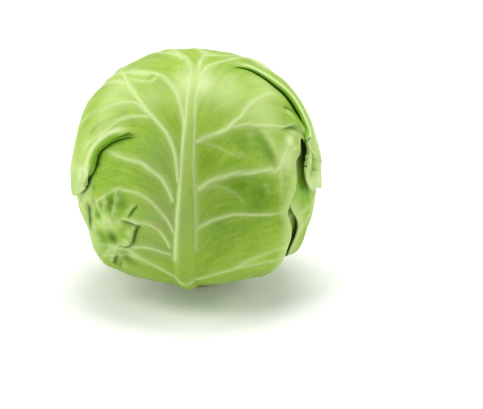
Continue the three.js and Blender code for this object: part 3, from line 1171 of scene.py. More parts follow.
@dataclass
class Leaf:
    """A wrapper leaf: a thin blade that lies on its layer, with ribs, veins and a waved rim.

    The side veins run from the midrib to a share of the way to the edge. A fork is (share of the way at which
    it leaves its vein, lines that it turns by). A busy row is (line, spread, extra density).
    """

    name: str
    layer: int
    sheet: LeafSheet
    flare: float
    waves: float
    phase: float
    scallop: float = 0.035
    across: int = 200
    along: int = 160
    blade: float = 1.3
    first_layer: float = 82.2
    layer_step: float = 2.2
    blister: float = 0.5
    rim_start: float = 0.7
    rim_swing: float = 0.9
    rim_pale: float = 0.45
    rim_pale_from: float = 0.86
    midrib_height: tuple[float, ...] = (4.3, 1.9, 0.9)
    midrib_half_width: tuple[float, ...] = (9.0, 6.0, 3.0)
    midrib_reach: float = 20.0
    midrib_slope: tuple[float, float] = (0.25, 1.1)
    midrib_colour: tuple[float, float] = (0.55, 1.05)
    rib_strength: tuple[float, ...] = (0.7, 0.8)
    vein_end: float = 0.96
    fine_vein_end: float = 0.8
    fork_end: float = 0.94
    fork_bend: float = 0.8
    forks: tuple[tuple[float, float], ...] = ((0.42, 0.34), (0.66, -0.3))
    covered: float = 8.0
    clear: float = 17.0
    crinkle: float = 0.5
    crinkle_size: float = 16.0
    crinkle_inside: float = 0.35
    busy_lines: tuple[float, ...] = ()
    busy_rows: tuple[tuple[float, float, float], ...] = ()
    last_busy: float = 99.0
    sparse: float = 0.6
    stains_and_shades: StainsAndShades = field(default_factory=dict)
    piece: bpy.types.Object | None = field(default=None, init=False)

    def veins(self) -> list[Vein]:
        """Lays out the leaf's veins.

        Returns:
            Its side veins, their forks and the finer veins between them.
        """
        found = []
        for side in Side:
            for t in np.arange(0.5, self.sheet.last_line, 0.5):
                plain = t == int(t)
                end = self.vein_end if plain else self.fine_vein_end
                line = Line(self.sheet.line(side, t, 0, end) * SURFACE_RADIUS)
                found.append(Vein(line, VeinKind.PLAIN if plain else VeinKind.FINE))
                if plain:
                    found += [self._fork(side, t, start, turn) for start, turn in self.forks]
        return found

    def _fork(self, side: Side, t: float, start: float, turn: float) -> Vein:
        """A vein that leaves a side vein and bends towards the next one.

        Args:
            side: the half of the leaf.
            t: the side vein's line.
            start: the share of the way to the edge at which it leaves.
            turn: how many lines it bends, towards the tip or, if negative, the foot.

        Returns:
            The fork.
        """
        share = np.linspace(0, 1, 16)
        u = side.value * (start + (self.fork_end - start) * share)
        row = np.clip(t + turn * share**self.fork_bend, 0, self.sheet.last_line)
        return Vein(Line(self.sheet.at(u, row) * SURFACE_RADIUS), VeinKind.FORK)

    def rows(self, v: Array) -> Array:
        """Spreads the grid's rows along the leaf, closer together where the busy rows lie.

        Args:
            v: rows of the grid, from -1 to 1.

        Returns:
            Their places along the leaf.
        """
        t = np.linspace(0, self.sheet.last_line, 4001)
        density = np.where((t < 1) | (t > self.last_busy), self.sparse, 1.0)
        for line, spread, extra in self.busy_rows:
            density += extra * bell(t - line, spread)
        run = np.concatenate([[0], np.cumsum((density[1:] + density[:-1]) / 2)])
        return np.interp((v + 1) / 2, run / run[-1], t)

    def bend_rows(self, u: Array, t: Array) -> Array:
        """Places along the leaf, left where they are, since a plain leaf has nothing that its rows must
        follow.
        """
        return t

    def freedom(self, d: Array, outside: Array) -> Array:
        """Measures how free each direction is of the leaves outside this one.

        Args:
            d: unit vectors from the middle of the head.
            outside: directions spread over all those leaves.

        Returns:
            From 0, covered, to 1, free.
        """
        if not len(outside):
            return np.ones(len(d))
        tree = KDTree(len(outside))
        for i, sample in enumerate(outside):
            tree.insert(sample, i)
        tree.balance()
        chord = np.array([tree.find(Vector(p))[2] for p in d])
        return smoothstep(np.degrees(2 * np.arcsin(np.clip(chord / 2, 0, 1))), self.covered, self.clear)

    def radius(self) -> float:
        """How far the blade's outer face lies from the middle of the head, before its relief."""
        return self.first_layer + self.layer_step * self.layer + self.blade

    def seen(self, relief: Relief, places: Array) -> Array:
        """Where the blade's places appear in the front view, on a ball of the surface's radius."""
        lift = relief.rise + relief.ridge + self.radius() - PHOTO.surface
        return PHOTO.seen(unit(places + relief.slide), lift) * SURFACE_RADIUS

    def shape(self, relief: Relief, places: Array, u: Array, t: Array) -> None:
        """Adds what this leaf's blade has of its own.

        Args:
            relief: the blade's relief, which grows.
            places: the blade's vertices, on a ball of the surface's radius.
            u: their share of the way from the midrib to the edge, negative on the left half.
            t: their place along the leaf.
        """
        for vein in self.veins():
            relief.add_vein(places, vein)
        relief.add_stains_and_shades(self.seen(relief, places), self.stains_and_shades)

    def edge(self, u: Array, t: Array) -> Array:
        """How far the rim reaches past its plain outline, as a share of the half leaf's width."""
        return np.zeros_like(u)

    def midrib(self, places: Array, t: Array) -> tuple[Array, Array]:
        """Shapes the midrib.

        Args:
            places: the blade's vertices, on a ball of the surface's radius.
            t: their place along the leaf.

        Returns:
            How high it stands at each place, and how much of its colour shows.
        """
        share = t / self.sheet.last_line
        line = Line(self.sheet.midrib() * SURFACE_RADIUS)
        index, dist, _, _, _ = line.nearest(places, self.midrib_reach)
        near = np.full(len(places), np.inf)
        near[index] = dist
        near /= through(self.midrib_half_width, share)
        height = through(self.midrib_height, share) * (1 - smoothstep(near, *self.midrib_slope))
        return height, through(self.rib_strength, share) * (1 - smoothstep(near, *self.midrib_colour))

    def build(self, outside: Array) -> bpy.types.Object:
        """Makes the leaf's mesh.

        Args:
            outside: directions spread over all the leaves outside this one.

        Returns:
            The piece, which carries what its material reads.
        """
        bm = bmesh.new()
        bmesh.ops.create_grid(bm, x_segments=self.across, y_segments=self.along, size=1)
        grid = np.array([v.co for v in bm.verts], float)
        u = grid[:, 0]
        t = self.bend_rows(u, self.rows(grid[:, 1]))
        s = np.abs(u)
        side = np.where(u < 0, -1.0, 1.0)
        wave = np.sin(2 * math.pi * (self.waves * t + self.phase) + side)
        rim = smoothstep(s, self.rim_start, 1)
        d = self.sheet.at(u * (1 - self.scallop * rim * (1 - wave) + rim * self.edge(u, t)), t)
        places = d * SURFACE_RADIUS
        free = self.freedom(d, outside)
        relief = Relief.flat(len(d))
        relief.rise += self.blister * np.sin(math.pi * (t % 1)) * np.sin(math.pi * s)
        relief.rise += self.flare * rim * (1 + self.rim_swing * wave)
        crinkle = fractal(places, self.crinkle_size, 3, self.layer + 1)
        relief.rise += self.crinkle * (self.crinkle_inside + rim) * crinkle
        self.shape(relief, places, u, t)
        rib, rib_colour = self.midrib(places, t)
        rise = (np.maximum(rib, relief.ridge) + relief.rise) * free
        d = unit(d + relief.slide * free[:, None] / SURFACE_RADIUS)
        self.piece = mesh_object(f"{self.name}_blade", bm, HEAD.point(d, self.radius() + rise))
        set_leaf_map(self.piece, u, t)
        raise_to(relief.stains_and_shades[StainAndShade.PALE], self.rim_pale * smoothstep(s, self.rim_pale_from, 1))
        for name, values in (("vein", relief.vein), ("halo", relief.halo), ("rib", rib_colour)):
            set_attribute(self.piece, name, values)
        for stain_and_shade, values in relief.stains_and_shades.items():
            set_attribute(self.piece, stain_and_shade.value, values)
        skin = self.piece.modifiers.new("blade", "SOLIDIFY")
        skin.thickness = self.blade * MILLIMETRE
        skin.offset = -1
        return self.piece

    def dress(self, material: bpy.types.Material) -> None:
        """Gives the leaf its finish and hands it to the frame."""
        self.piece.data.materials.append(material)
        hand_over(self.piece, self.name)


# The front leaf's lines, in degrees across and up from its middle: where each leaves the midrib, and its
# stations on the left and right halves, from the foot of the leaf to its tip.
FRONT_MIDRIB = [
    (-2, -95), (-4, -73), (-5.2, -57), (-5.6, -44), (-5.5, -32), (-5.3, -22), (-5.1, -13),
    (-5, -6), (-4.8, 1), (-3.8, 24), (-0.5, 48), (8, 70), (44, 92),
]
FRONT_LEFT = [
    [(-5, -94), (-10, -92.5), (-15, -90.5), (-20, -88), (-25, -84.5)],
    [(-10, -74), (-18, -73), (-26, -71.5), (-34, -70), (-43, -68)],
    [(-12, -50), (-22, -43.5), (-32, -41.5), (-44, -45), (-57, -53)],
    [(-12, -33), (-21, -27.5), (-30, -25.5), (-42, -27), (-61, -33)],
    [(-11, -20), (-19, -13), (-31, -10.5), (-44, -11), (-63, -16)],
    [(-11.5, -9), (-20, -1), (-31, 4), (-46, 3), (-64, -13)],
    [(-12, 2), (-22, 12), (-33, 14.8), (-49, 9.5), (-66, -10)],
    [(-12.5, 8), (-24, 20), (-38, 22.5), (-60, 13), (-82, -3)],
    [(-11.5, 14), (-20.5, 26), (-37, 45), (-66, 52), (-96, 30)],
    [(-9, 35), (-17, 46), (-36, 54), (-62, 63), (-90, 62)],
    [(-4, 57), (-8, 64), (-17, 74), (-28, 84), (-42, 97)],
    [(4, 76), (1, 84), (-2, 93), (-4, 103), (-6, 114)],
    [(40, 95), (36, 99), (33, 103), (30, 107), (27, 112)],
]
FRONT_RIGHT = [
    [(3, -94), (8, -92.5), (13, -90.5), (18, -88), (23, -85)],
    [(4, -73), (12, -72), (21, -70.5), (31, -69), (41, -67)],
    [(3, -52), (13, -48), (24, -46), (36, -47), (49, -50)],
    [(4, -33), (13, -27), (24, -25.5), (37, -27), (53, -33)],
    [(4, -19), (12, -14), (24, -14), (38, -17), (56, -19)],
    [(6, -8), (16, -4), (28, -2.5), (42, -1), (57, -4)],
    [(5, 5), (15, 14), (27, 18.5), (42, 18), (57, 8)],
    [(5, 14), (22, 27), (44, 34), (54, 28), (58, 17)],
    [(7, 36), (24, 57), (52, 48), (71, 20), (83, -12)],
    [(5.5, 44), (20, 62), (50, 64), (82, 38), (101, -10)],
    [(9, 57), (24, 69), (58, 72), (92, 50), (114, 16)],
    [(18, 72), (32, 77), (56, 80), (88, 72), (116, 50)],
    [(50, 92), (56, 91.5), (62, 91), (68, 90), (76, 88)],
]

# What the front leaf shows, at pixels of the photograph's frame. A vein is (millimetres that it carries on,
# pixels), a crease is (depth, width, lip, hand, shade, gloom, pixels) and a spot is (pixel across, pixel
# down, size, amount). The wrapper leaves share the last stains and painted shade, where they show beside
# the front leaf.
FRONT_VEINS = {
    VeinKind.STRAND: (
        (0, (175, 258), (176, 236), (178.6, 200), (180.4, 174), (182.6, 147), (185.7, 120), (186.4, 106),
         (189.7, 81.5), (191.8, 67)),
    ),
    VeinKind.EDGE: (
        (0, (196, 250), (195.5, 236), (195, 200), (193.3, 169), (193.8, 147), (194.6, 120), (195.5, 98),
         (198.8, 84), (199.7, 65), (204.6, 55), (213, 51)),
    ),
    VeinKind.MAIN: (
        (40, (191, 67), (185, 59), (180, 56), (171, 51)),
        (40, (184.5, 124), (183, 116), (180, 104), (175, 91), (161, 77), (149, 74), (130, 74)),
        (45, (178.6, 182), (177, 165), (174, 150), (167, 134), (156, 121), (149, 113), (138, 98),
         (130, 87), (126, 78), (122, 73)),
        (0, (173, 200), (169, 190), (162, 178), (150, 169), (142, 163), (128, 159), (106, 150)),
        (60, (201, 76), (209, 67), (228, 62), (246, 60), (260, 62)),
        (0, (197, 142), (212, 136), (225, 131), (232.5, 123.8), (240, 117.5), (246, 108.8), (253.8, 101.3),
         (265, 96), (276, 92.5)),
        (0, (199, 189), (212, 180), (225, 176.3), (232.5, 173.8), (250, 172.5), (265, 170), (275, 170),
         (280, 160), (285, 150), (287.5, 142.5), (293, 136)),
    ),
    VeinKind.SIDE: (
        (0, (157, 78), (152, 82), (142, 82), (130, 80)),
        (25, (147, 113), (137, 104), (124, 103), (110, 107), (92, 115)),
        (15, (149, 117), (135, 117), (121, 121), (105, 132), (92, 141)),
        (0, (90, 174), (84, 169), (78, 167.5), (73, 166)),
        (0, (174, 232), (168, 220), (159, 209), (150, 200), (138, 193), (128, 190.5), (119, 189),
         (108, 194), (97, 200.4), (86, 194.4)),
        (0, (170, 247), (166, 238), (160, 230), (151, 224.5), (136, 221), (128, 218.7), (120, 218.7)),
        (0, (171, 254), (156, 249), (142, 246.3), (127, 247.4)),
        (0, (97, 200.4), (101.5, 212), (109, 219.8), (114, 223)),
        (0, (232.5, 127.5), (245, 125), (257.5, 126.3), (272.5, 126.3), (284, 127), (292.5, 123.8),
         (297, 122.5)),
        (0, (275, 170.6), (281, 164), (287.5, 156), (291, 150), (298.8, 146)),
        (20, (197, 228), (212, 220), (229, 215), (239, 214), (255, 214.5)),
    ),
    VeinKind.FAINT: (
        (0, (205, 188), (218, 186), (235, 194), (248, 206)),
        (0, (205, 143), (221, 149), (235, 156), (248, 155)),
        (0, (280, 166), (279, 178), (281, 192), (279, 206)),
        (0, (230, 85), (236, 77), (244, 74)),
    ),
    VeinKind.PUCKER: (
        (0, (117.5, 193), (116.5, 202), (114.5, 212), (113, 218)),
        (0, (106.5, 196), (105.5, 204), (105, 211)),
        (0, (107, 255), (111, 249.5), (117, 247.3), (123, 249)),
        (0, (314, 152.5), (319, 153.5), (324, 151)),
        (0, (318, 160), (316, 172), (312, 184)),
    ),
}
FRONT_CREASES = (
    (0.3, 1.1, 0, RIGHT, 0.35, 0, (196.5, 240), (196, 200), (194.5, 169), (195, 147)),
    (0.5, 1.8, 0.9, RIGHT, 0.6, 0, (113, 115), (103, 121), (92, 130), (86, 140)),
    (0.6, 1.8, 1, LEFT, 0.6, 0, (135, 113), (122, 115), (108, 121), (98, 128)),
    (0.6, 2, 1, LEFT, 0.6, 0, (122, 124), (108, 135), (96, 146), (90, 158)),
    (0.9, 4.2, 0.4, LEFT, 1, 1, (86, 198), (89, 207), (90.5, 216), (91, 226), (94, 236)),
    (0.9, 1.7, 1.3, LEFT, 1, 0.7, (119, 219.5), (129, 221.5), (138, 225), (146, 229)),
    (0.9, 1.4, 1.2, RIGHT, 0.8, 0.8, (139, 204), (133, 209.5), (129, 216), (127.5, 220)),
    (1.1, 1.6, 2, RIGHT, 0.8, 0.9, (142, 222), (137, 227), (134.5, 234), (133, 241), (129, 248)),
    (1, 1.4, 1.4, LEFT, 1, 0.9, (116, 244), (122, 246), (127, 246.5), (134, 243)),
    (1.1, 1.4, 1.4, RIGHT, 1, 0.9, (119.5, 249), (116, 255), (114, 262), (112.5, 269)),
    (0.9, 1.6, 1, LEFT, 0.7, 0.3, (121, 254), (122.5, 262), (123, 270)),
    (1, 4.5, 1.4, LEFT, 0.8, 0, (250, 122), (258, 133), (266, 145), (272, 156), (277, 168), (279, 176)),
    (1, 2.2, 1, RIGHT, 1, 0.8, (282, 108), (290, 110.5), (297, 119)),
    (1.2, 2.6, 1.2, RIGHT, 1, 1, (279, 133), (285, 130), (292, 129), (299, 132), (304, 138), (307, 148),
     (308, 158)),
    (1.8, 2, 0.6, LEFT, 1, 0.45, (308, 148), (312.5, 156), (314, 165), (312, 174), (308, 180)),
    (0.4, 1.8, 0.6, RIGHT, 0.3, 0, (262, 180), (268, 186), (272, 194)),
    (0.5, 1.6, 0.8, RIGHT, 0.4, 0, (280, 168), (284, 178), (284, 190)),
    (0.4, 2.2, 0.5, RIGHT, 0.2, 0, (232, 143), (240, 150), (247, 156)),
    (0.6, 1.6, 0.8, LEFT, 0.4, 0, (276, 76), (285, 84), (291, 91)),
    (0.6, 1.6, 0.8, LEFT, 0.4, 0, (304, 108), (309, 117), (313, 126)),
)
FRONT_SWELLINGS = spots(
    (105, 128, 9, 0.8), (98, 226, 7, 2.2), (108, 227, 8, 2.7), (118, 226, 6, 2), (112.5, 238, 5, -2.6),
    (126, 235, 6, 2.2), (111.5, 203, 4, -1.9), (123, 204, 6, -1.7), (99, 213, 4, -1.8), (116, 251, 6, 1.9),
    (107, 262, 7, 1.4), (127, 257, 6, -1.6), (84, 214, 4, 1.2), (243, 142, 11, -0.8), (266, 160, 7, -0.7),
    (258, 150, 8, 0.6), (255, 195, 14, 0.9), (290, 142, 6, 1), (313, 165, 4, -1.5), (225, 100, 18, 0.8),
    (160, 145, 14, 0.5), (215, 160, 9, 0.6),
)
FRONT_STAINS_AND_SHADES = {
    # darker green: partly the leaf's own, partly painted shade in hollows, creases and on the lower right
    StainAndShade.DEEP: spots(
        (258, 146, 9, 0.6), (269, 160, 7, 0.6), (243, 142, 9, 0.7), (239, 184, 13, 0.85),
        (258, 198, 16, 0.9), (225, 222, 20, 0.65), (264, 148, 7, 0.7), (270, 158, 5, 0.7),
        (208, 160, 9, 0.35), (187, 215, 9, 0.3), (111, 201, 5, 1), (110.5, 209, 4.5, 0.9),
        (122.5, 203, 6, 0.8), (121, 211, 5, 0.6), (100, 206, 4, 0.8), (112.5, 238, 5.5, 1),
        (103, 239, 6, 0.6), (127, 257, 6, 0.8), (106, 246, 5, 0.6), (134, 262, 7, 0.5),
        (150, 183, 12, 0.2), (105, 130, 12, 0.35), (272, 186, 8, 0.5), (284, 122, 6, 0.3),
    ),
    # richer green: partly the leaf's own, partly painted shade in valleys, crevices and the right pocket
    StainAndShade.LUSH: spots(
        (72.5, 175, 4, 1), (73.5, 183, 7, 1), (74.5, 191, 6, 1), (98, 215, 4, 0.8), (319, 153, 3, 0.6),
        (312.5, 166, 3, 0.8), (120, 210, 8, 0.35), (106, 240, 8, 0.35), (93, 188, 4, 0.5),
        (112, 198, 4, 0.6), (123, 236, 3, 0.4), (262, 142, 5, 0.4),
    ),
    # paler green: partly the leaf's own, partly painted highlights on crests, bulges and lit edges
    StainAndShade.PALE: spots(
        (117, 199, 2.5, 0.6), (115, 210, 2.5, 0.6), (106, 202, 2, 0.5), (98, 222, 4, 0.6),
        (110, 224, 6, 0.5), (126, 242, 3, 0.6), (119, 248, 3, 0.6), (85, 222, 4, 0.4), (150, 60, 26, 0.1),
        (118, 92, 22, 0.4), (150, 97, 16, 0.3), (86, 148, 14, 0.2), (80, 176, 6, 0.7), (84, 212, 5, 0.5),
        (103, 223, 7, 0.5), (118, 223, 4, 0.5), (114, 250, 5, 0.6), (129, 234, 3.5, 0.6),
        (268, 85, 18, 0.4), (105, 118, 14, 0.35), (262, 64, 14, 1), (284, 76, 10, 1), (298, 92, 10, 1),
        (310, 110, 10, 1), (318, 132, 12, 0.7), (320, 168, 12, 0.2), (309, 183, 6, 1), (288, 160, 12, 0.6),
        (290, 141, 6, 0.8), (286, 185, 9, 0.15), (262, 112, 18, 0.45), (225, 90, 20, 0.4),
        (196, 82, 16, 0.9),
    ),
    # painted shade in the crevices under the pleats and in the creases at the lower left
    StainAndShade.CREVICE_SHADE: spots(
        (112.5, 238, 4, 0.55), (111, 201, 3.5, 0.35), (111, 208, 3, 0.25), (98, 215, 3.5, 0.35),
        (103, 238, 4, 0.25), (127, 258, 4, 0.3), (122, 204, 4, 0.25), (93, 201, 2.8, 0.5),
        (100.5, 156, 3.5, 0.8), (98.5, 164, 3.2, 0.8), (96, 172, 2.8, 0.6), (89.5, 209, 3.5, 0.8),
        (91, 219, 3, 0.6), (94, 188, 3, 0.4), (300, 128, 5, 0.35),
    ),
    StainAndShade.BLOOM: spots(
        (160, 160, 17, 0.6), (163, 215, 19, 0.75), (150, 245, 17, 0.6), (210, 190, 9, 0.3),
    ),
    StainAndShade.BROWN: spots(
        (86, 205, 2.5, 0.9), (80, 197, 2.5, 0.8), (121, 217, 3.5, 0.4), (156, 205, 6, 0.35),
        (158, 226, 5, 0.4),
    ),
}
UNDER_STAINS_AND_SHADES = {
    StainAndShade.LUSH: spots(
        (310, 192, 8, 1), (303, 184, 7, 0.8), (300, 196, 6, 0.8), (305, 172, 5, 0.6),
    ),
    StainAndShade.PALE: spots(
        (83, 215, 4, 0.3),
    ),
    # painted shade where the wrapper leaves lie under the front leaf's edges and flap
    StainAndShade.CREVICE_SHADE: spots(
        (304, 160, 6, 0.5), (304, 149, 6, 0.7), (303, 137, 6, 0.8), (292, 195, 4, 0.5),
        (89, 206, 3.5, 0.9), (90.5, 213, 3.5, 0.9), (91, 221, 3, 0.7),
    ),
}


@dataclass
class FrontLeaf(Leaf):
    """The outermost leaf, whose veins, creases and pleats lie where the photograph's frame shows them.

    A hidden vein is (half of the leaf, line, share of the way to the edge at which it starts).
    """

    pleats: tuple[Pleat, ...] = (
        Pleat(
            LEFT,
            line=((0.5, 6.15), (0.56, 6.17), (0.63, 6.27), (0.68, 6.46), (0.73, 6.56), (0.78, 6.5),
                  (0.85, 6.16), (0.89, 5.92), (0.93, 5.75), (1, 5.68)),
            lift=((0.48, 0), (0.55, 0.6), (0.63, 1.6), (0.68, 2.5), (0.78, 3.4), (0.89, 3.4), (0.93, 3.0),
                  (1, 2.2)),
            overhang=((0.48, 0), (0.55, 0.6), (0.63, 1.5), (0.68, 2.9), (0.73, 4), (0.9, 4.5), (1, 2.2)),
            roll=4.0, reach=22.0, shadow=0.7, flush=0.6,
        ),
        Pleat(
            RIGHT,
            line=((0.33, 8), (0.4, 8.07), (0.45, 8.06), (0.5, 7.93), (0.56, 7.78), (0.64, 7.74), (0.72, 7.73),
                  (0.8, 7.68), (0.86, 7.56), (1, 7.25)),
            lift=((0.35, 0), (0.43, 1), (0.5, 2.0), (0.56, 2.8), (0.64, 3.2), (0.75, 3.6), (1, 4.5)),
            overhang=((0.35, 0), (0.43, 1), (0.5, 2), (0.55, 3), (0.65, 3.6), (0.7, 4), (1, 4)),
            roll=2.2, reach=28.0, shadow=0.2, frill=0.4, gloom=0.45,
        ),
    )
    drapes: tuple[Drape, ...] = (
        Drape(RIGHT, (
            (7.1, 0, 0, 0), (7.24, 308, 141, 5), (7.38, 309, 150, 5), (7.5, 311.5, 160, 4),
            (7.62, 305.5, 168, 5.5), (7.76, 306.5, 179, 4.5), (7.88, 310.5, 186, 4), (8.0, 316, 189, 3),
            (8.15, 319.5, 185, 2), (8.32, 322, 178, 1.5), (8.7, 0, 0, 0),
        )),
        Drape(LEFT, (
            (5.8, 0, 0, 0), (6.15, 86, 188, 3.8), (6.3, 81, 192, 4), (6.45, 76, 195.5, 4),
            (6.6, 73, 196.5, 3.8), (6.8, 71, 189, 3), (7.0, 70.5, 181, 2.5), (7.4, 0, 0, 0),
        ), 0.12),
    )
    hidden: tuple[tuple[Side, int, float], ...] = (
        (LEFT, 1, 0.0), (LEFT, 2, 0.0), (RIGHT, 1, 0.0), (RIGHT, 2, 0.0), (LEFT, 8, 0.62), (LEFT, 9, 0.5),
        (LEFT, 10, 0.4), (LEFT, 11, 0.0), (RIGHT, 9, 0.55), (RIGHT, 10, 0.35), (RIGHT, 11, 0.0),
    )
    hidden_fork: tuple[float, float] = (0.5, 0.4)
    bend_reach: float = 1.6
    notch_lines: tuple[float, ...] = (1.5, 2.6, 3.6, 4.2, 5.0, 5.8, 6.6)
    notch_depths: tuple[float, ...] = (0, -0.05, -0.09, -0.08, -0.05, -0.015, 0)

    def veins(self) -> list[Vein]:
        """Lays out the leaf's veins.

        Returns:
            The veins that show, and lines of the leaf with their forks where it turns out of sight.
        """
        found = [Vein.seen(kind, *row) for kind, rows in FRONT_VEINS.items() for row in rows]
        earliest, turn = self.hidden_fork
        for side, t, start in self.hidden:
            line = Line(self.sheet.line(side, t, start, self.vein_end) * SURFACE_RADIUS)
            found += [Vein(line, VeinKind.SIDE), self._fork(side, t, max(start, earliest), turn)]
        return found

    def bend_rows(self, u: Array, t: Array) -> Array:
        """Moves the grid's rows so that one follows each pleat.

        Args:
            u: the vertices' share of the way from the midrib to the edge, negative on the left half.
            t: their place along the leaf.

        Returns:
            Their moved places along the leaf.
        """
        for pleat, row in zip(self.pleats, self.busy_lines):
            line = at_stops(pleat.line, np.abs(u))
            near = (1 - smoothstep(np.abs(t - row), 0, self.bend_reach)) * (u * pleat.side.value > 0)
            t = t + (line - row) * near
        return t

    def edge(self, u: Array, t: Array) -> Array:
        """The notches of the right rim where the photograph's frame shows them."""
        return np.where(u > 0, np.interp(t, self.notch_lines, self.notch_depths), 0)

    def shape(self, relief: Relief, places: Array, u: Array, t: Array) -> None:
        """Adds the pleats and drapes, and then what is seen on the laid blade.

        Args:
            relief: the blade's relief, which grows.
            places: the blade's vertices, on a ball of the surface's radius.
            u: their share of the way from the midrib to the edge, negative on the left half.
            t: their place along the leaf.
        """
        for pleat in self.pleats:
            relief.add_pleat(places, u, t, self.sheet, pleat)
        for drape in self.drapes:
            relief.add_drape(places, u, t, drape)
        laid = self.seen(relief, places)
        for spot in FRONT_SWELLINGS:
            relief.rise += spot.over(laid)
        laid = self.seen(relief, places)
        for vein in self.veins():
            relief.add_vein(laid, vein)
        laid = self.seen(relief, places)
        for row in FRONT_CREASES:
            relief.add_crease(laid, Crease.seen(*row))
        relief.add_stains_and_shades(self.seen(relief, places), self.stains_and_shades)


@dataclass(frozen=True)
class WrapperPlan:
    """Where an ordinary wrapper leaf lies and how its lines fan out from the midrib to its edge."""

    azimuth: float
    tip: float
    half_width: float
    lean: float
    flare: float
    waves: float
    phase: float
    foot: float = -81.0
    elevation: float = 5.0
    lines: int = 6
    fan: tuple[float, float] = (-72.0, 84.0)
    foot_width: float = 0.5
    full_width_at: float = 0.4
    roundness: float = 0.6
    least_reach: float = 7.0
    line_bow: float = 0.12

    def sheet(self) -> LeafSheet:
        """Lays out the leaf's lines.

        Returns:
            The leaf's sheet of directions.
        """
        share = np.linspace(0, 1, self.lines)
        start = np.stack([self.lean * share**2, self.foot + (self.tip - self.foot) * share], axis=1)
        turn = np.radians(self.fan[0] + (self.fan[1] - self.fan[0]) * share)
        full = smoothstep(share, 0, self.full_width_at)
        width = self.half_width * (self.foot_width + (1 - self.foot_width) * full)
        reach = np.maximum(width * np.cos(turn) ** self.roundness, self.least_reach)
        edge_up = self.foot + (self.tip - self.foot) * (0.5 + 0.5 * np.sin(turn)) + self.least_reach * share
        part = (np.arange(1, STATIONS + 1) / STATIONS)[None, :, None]
        halves = []
        for side in Side:
            edge = np.stack([start[:, 0] + side.value * reach, edge_up], axis=1)
            bow = self.line_bow * share * np.hypot(*(edge - start).T)
            rows = start[:, None] + (edge - start)[:, None] * part
            rows[..., 1] += bow[:, None] * np.sin(math.pi * part[..., 0])
            halves.append(rows)
        return LeafSheet(LeafPlane(self.azimuth, self.elevation), start, *halves)


PLANS = (
    WrapperPlan(-37, 84, 66, 6, 0.8, 0.9, 0.1),
    WrapperPlan(185, 80, 72, -8, 2.4, 1.1, 0.4),
    WrapperPlan(48, 74, 70, 5, 2.0, 0.9, 0.7),
    WrapperPlan(-90, 66, 74, -6, 3.0, 1.0, 0.2),
    WrapperPlan(132, 62, 84, 8, 3.2, 1.1, 0.9),
)


@dataclass
class YoungLeaves:
    """The tight ball inside: young leaves whose edges lap over one another in a slow spiral.

    The side veins' slant is how many millimetres they climb for each millimetre away from the midrib.
    """

    name: str = "inner_head"
    radius: float = 79.4
    leaves: int = 5
    lap: float = 1.7
    spiral: float = 70.0
    around: int = 240
    rows: int = 120
    midrib_width: float = 3.5
    vein_pitch: float = 17.0
    vein_slant: float = 0.8
    vein_width: float = 1.2
    vein_end: tuple[float, float] = (25.0, 48.0)
    vein_height: float = 0.35
    piece: bpy.types.Object | None = field(default=None, init=False)

    def build(self) -> bpy.types.Object:
        """Makes the ball's mesh.

        Returns:
            The piece, which carries what its material reads.
        """
        bm = bmesh.new()
        bmesh.ops.create_uvsphere(bm, u_segments=self.around, v_segments=self.rows, radius=1)
        d = unit(np.array([v.co for v in bm.verts], float))
        elevation = np.degrees(np.arcsin(np.clip(d[:, 2], -1, 1)))
        azimuth = np.degrees(np.arctan2(d[:, 0], -d[:, 1])) - self.spiral * elevation / 180
        turn = (azimuth / 360 * self.leaves) % 1
        flat = np.cos(np.radians(elevation))
        across = (turn - 0.5) * 2 * math.pi * self.radius * flat / self.leaves
        midrib = bell(across, self.midrib_width)
        climb = np.radians(elevation) * self.radius - self.vein_slant * np.abs(across)
        from_vein = ((climb / self.vein_pitch) % 1 - 0.5) * self.vein_pitch
        side = bell(from_vein, self.vein_width) * (1 - smoothstep(np.abs(across), *self.vein_end))
        rise = self.lap * turn**2 * flat + self.vein_height * np.maximum(midrib, side) * flat
        self.piece = mesh_object("young_leaves", bm, HEAD.point(d, self.radius + np.minimum(rise, self.lap)))
        set_leaf_map(self.piece, turn * 2, climb / self.vein_pitch)
        values = {name: np.zeros(len(d)) for name in ("rib", *(stain_and_shade.value for stain_and_shade in StainAndShade))}
        values |= {"vein": 0.7 * np.maximum(midrib, 0.7 * side), "halo": 0.5 * np.maximum(midrib, side)}
        values[StainAndShade.PALE.value] = 0.35 + 0.4 * turn**3
        for name, value in values.items():
            set_attribute(self.piece, name, value)
        return self.piece

    def dress(self, material: bpy.types.Material) -> None:
        """Gives the ball its finish and hands it to the frame."""
        self.piece.data.materials.append(material)
        hand_over(self.piece, self.name)


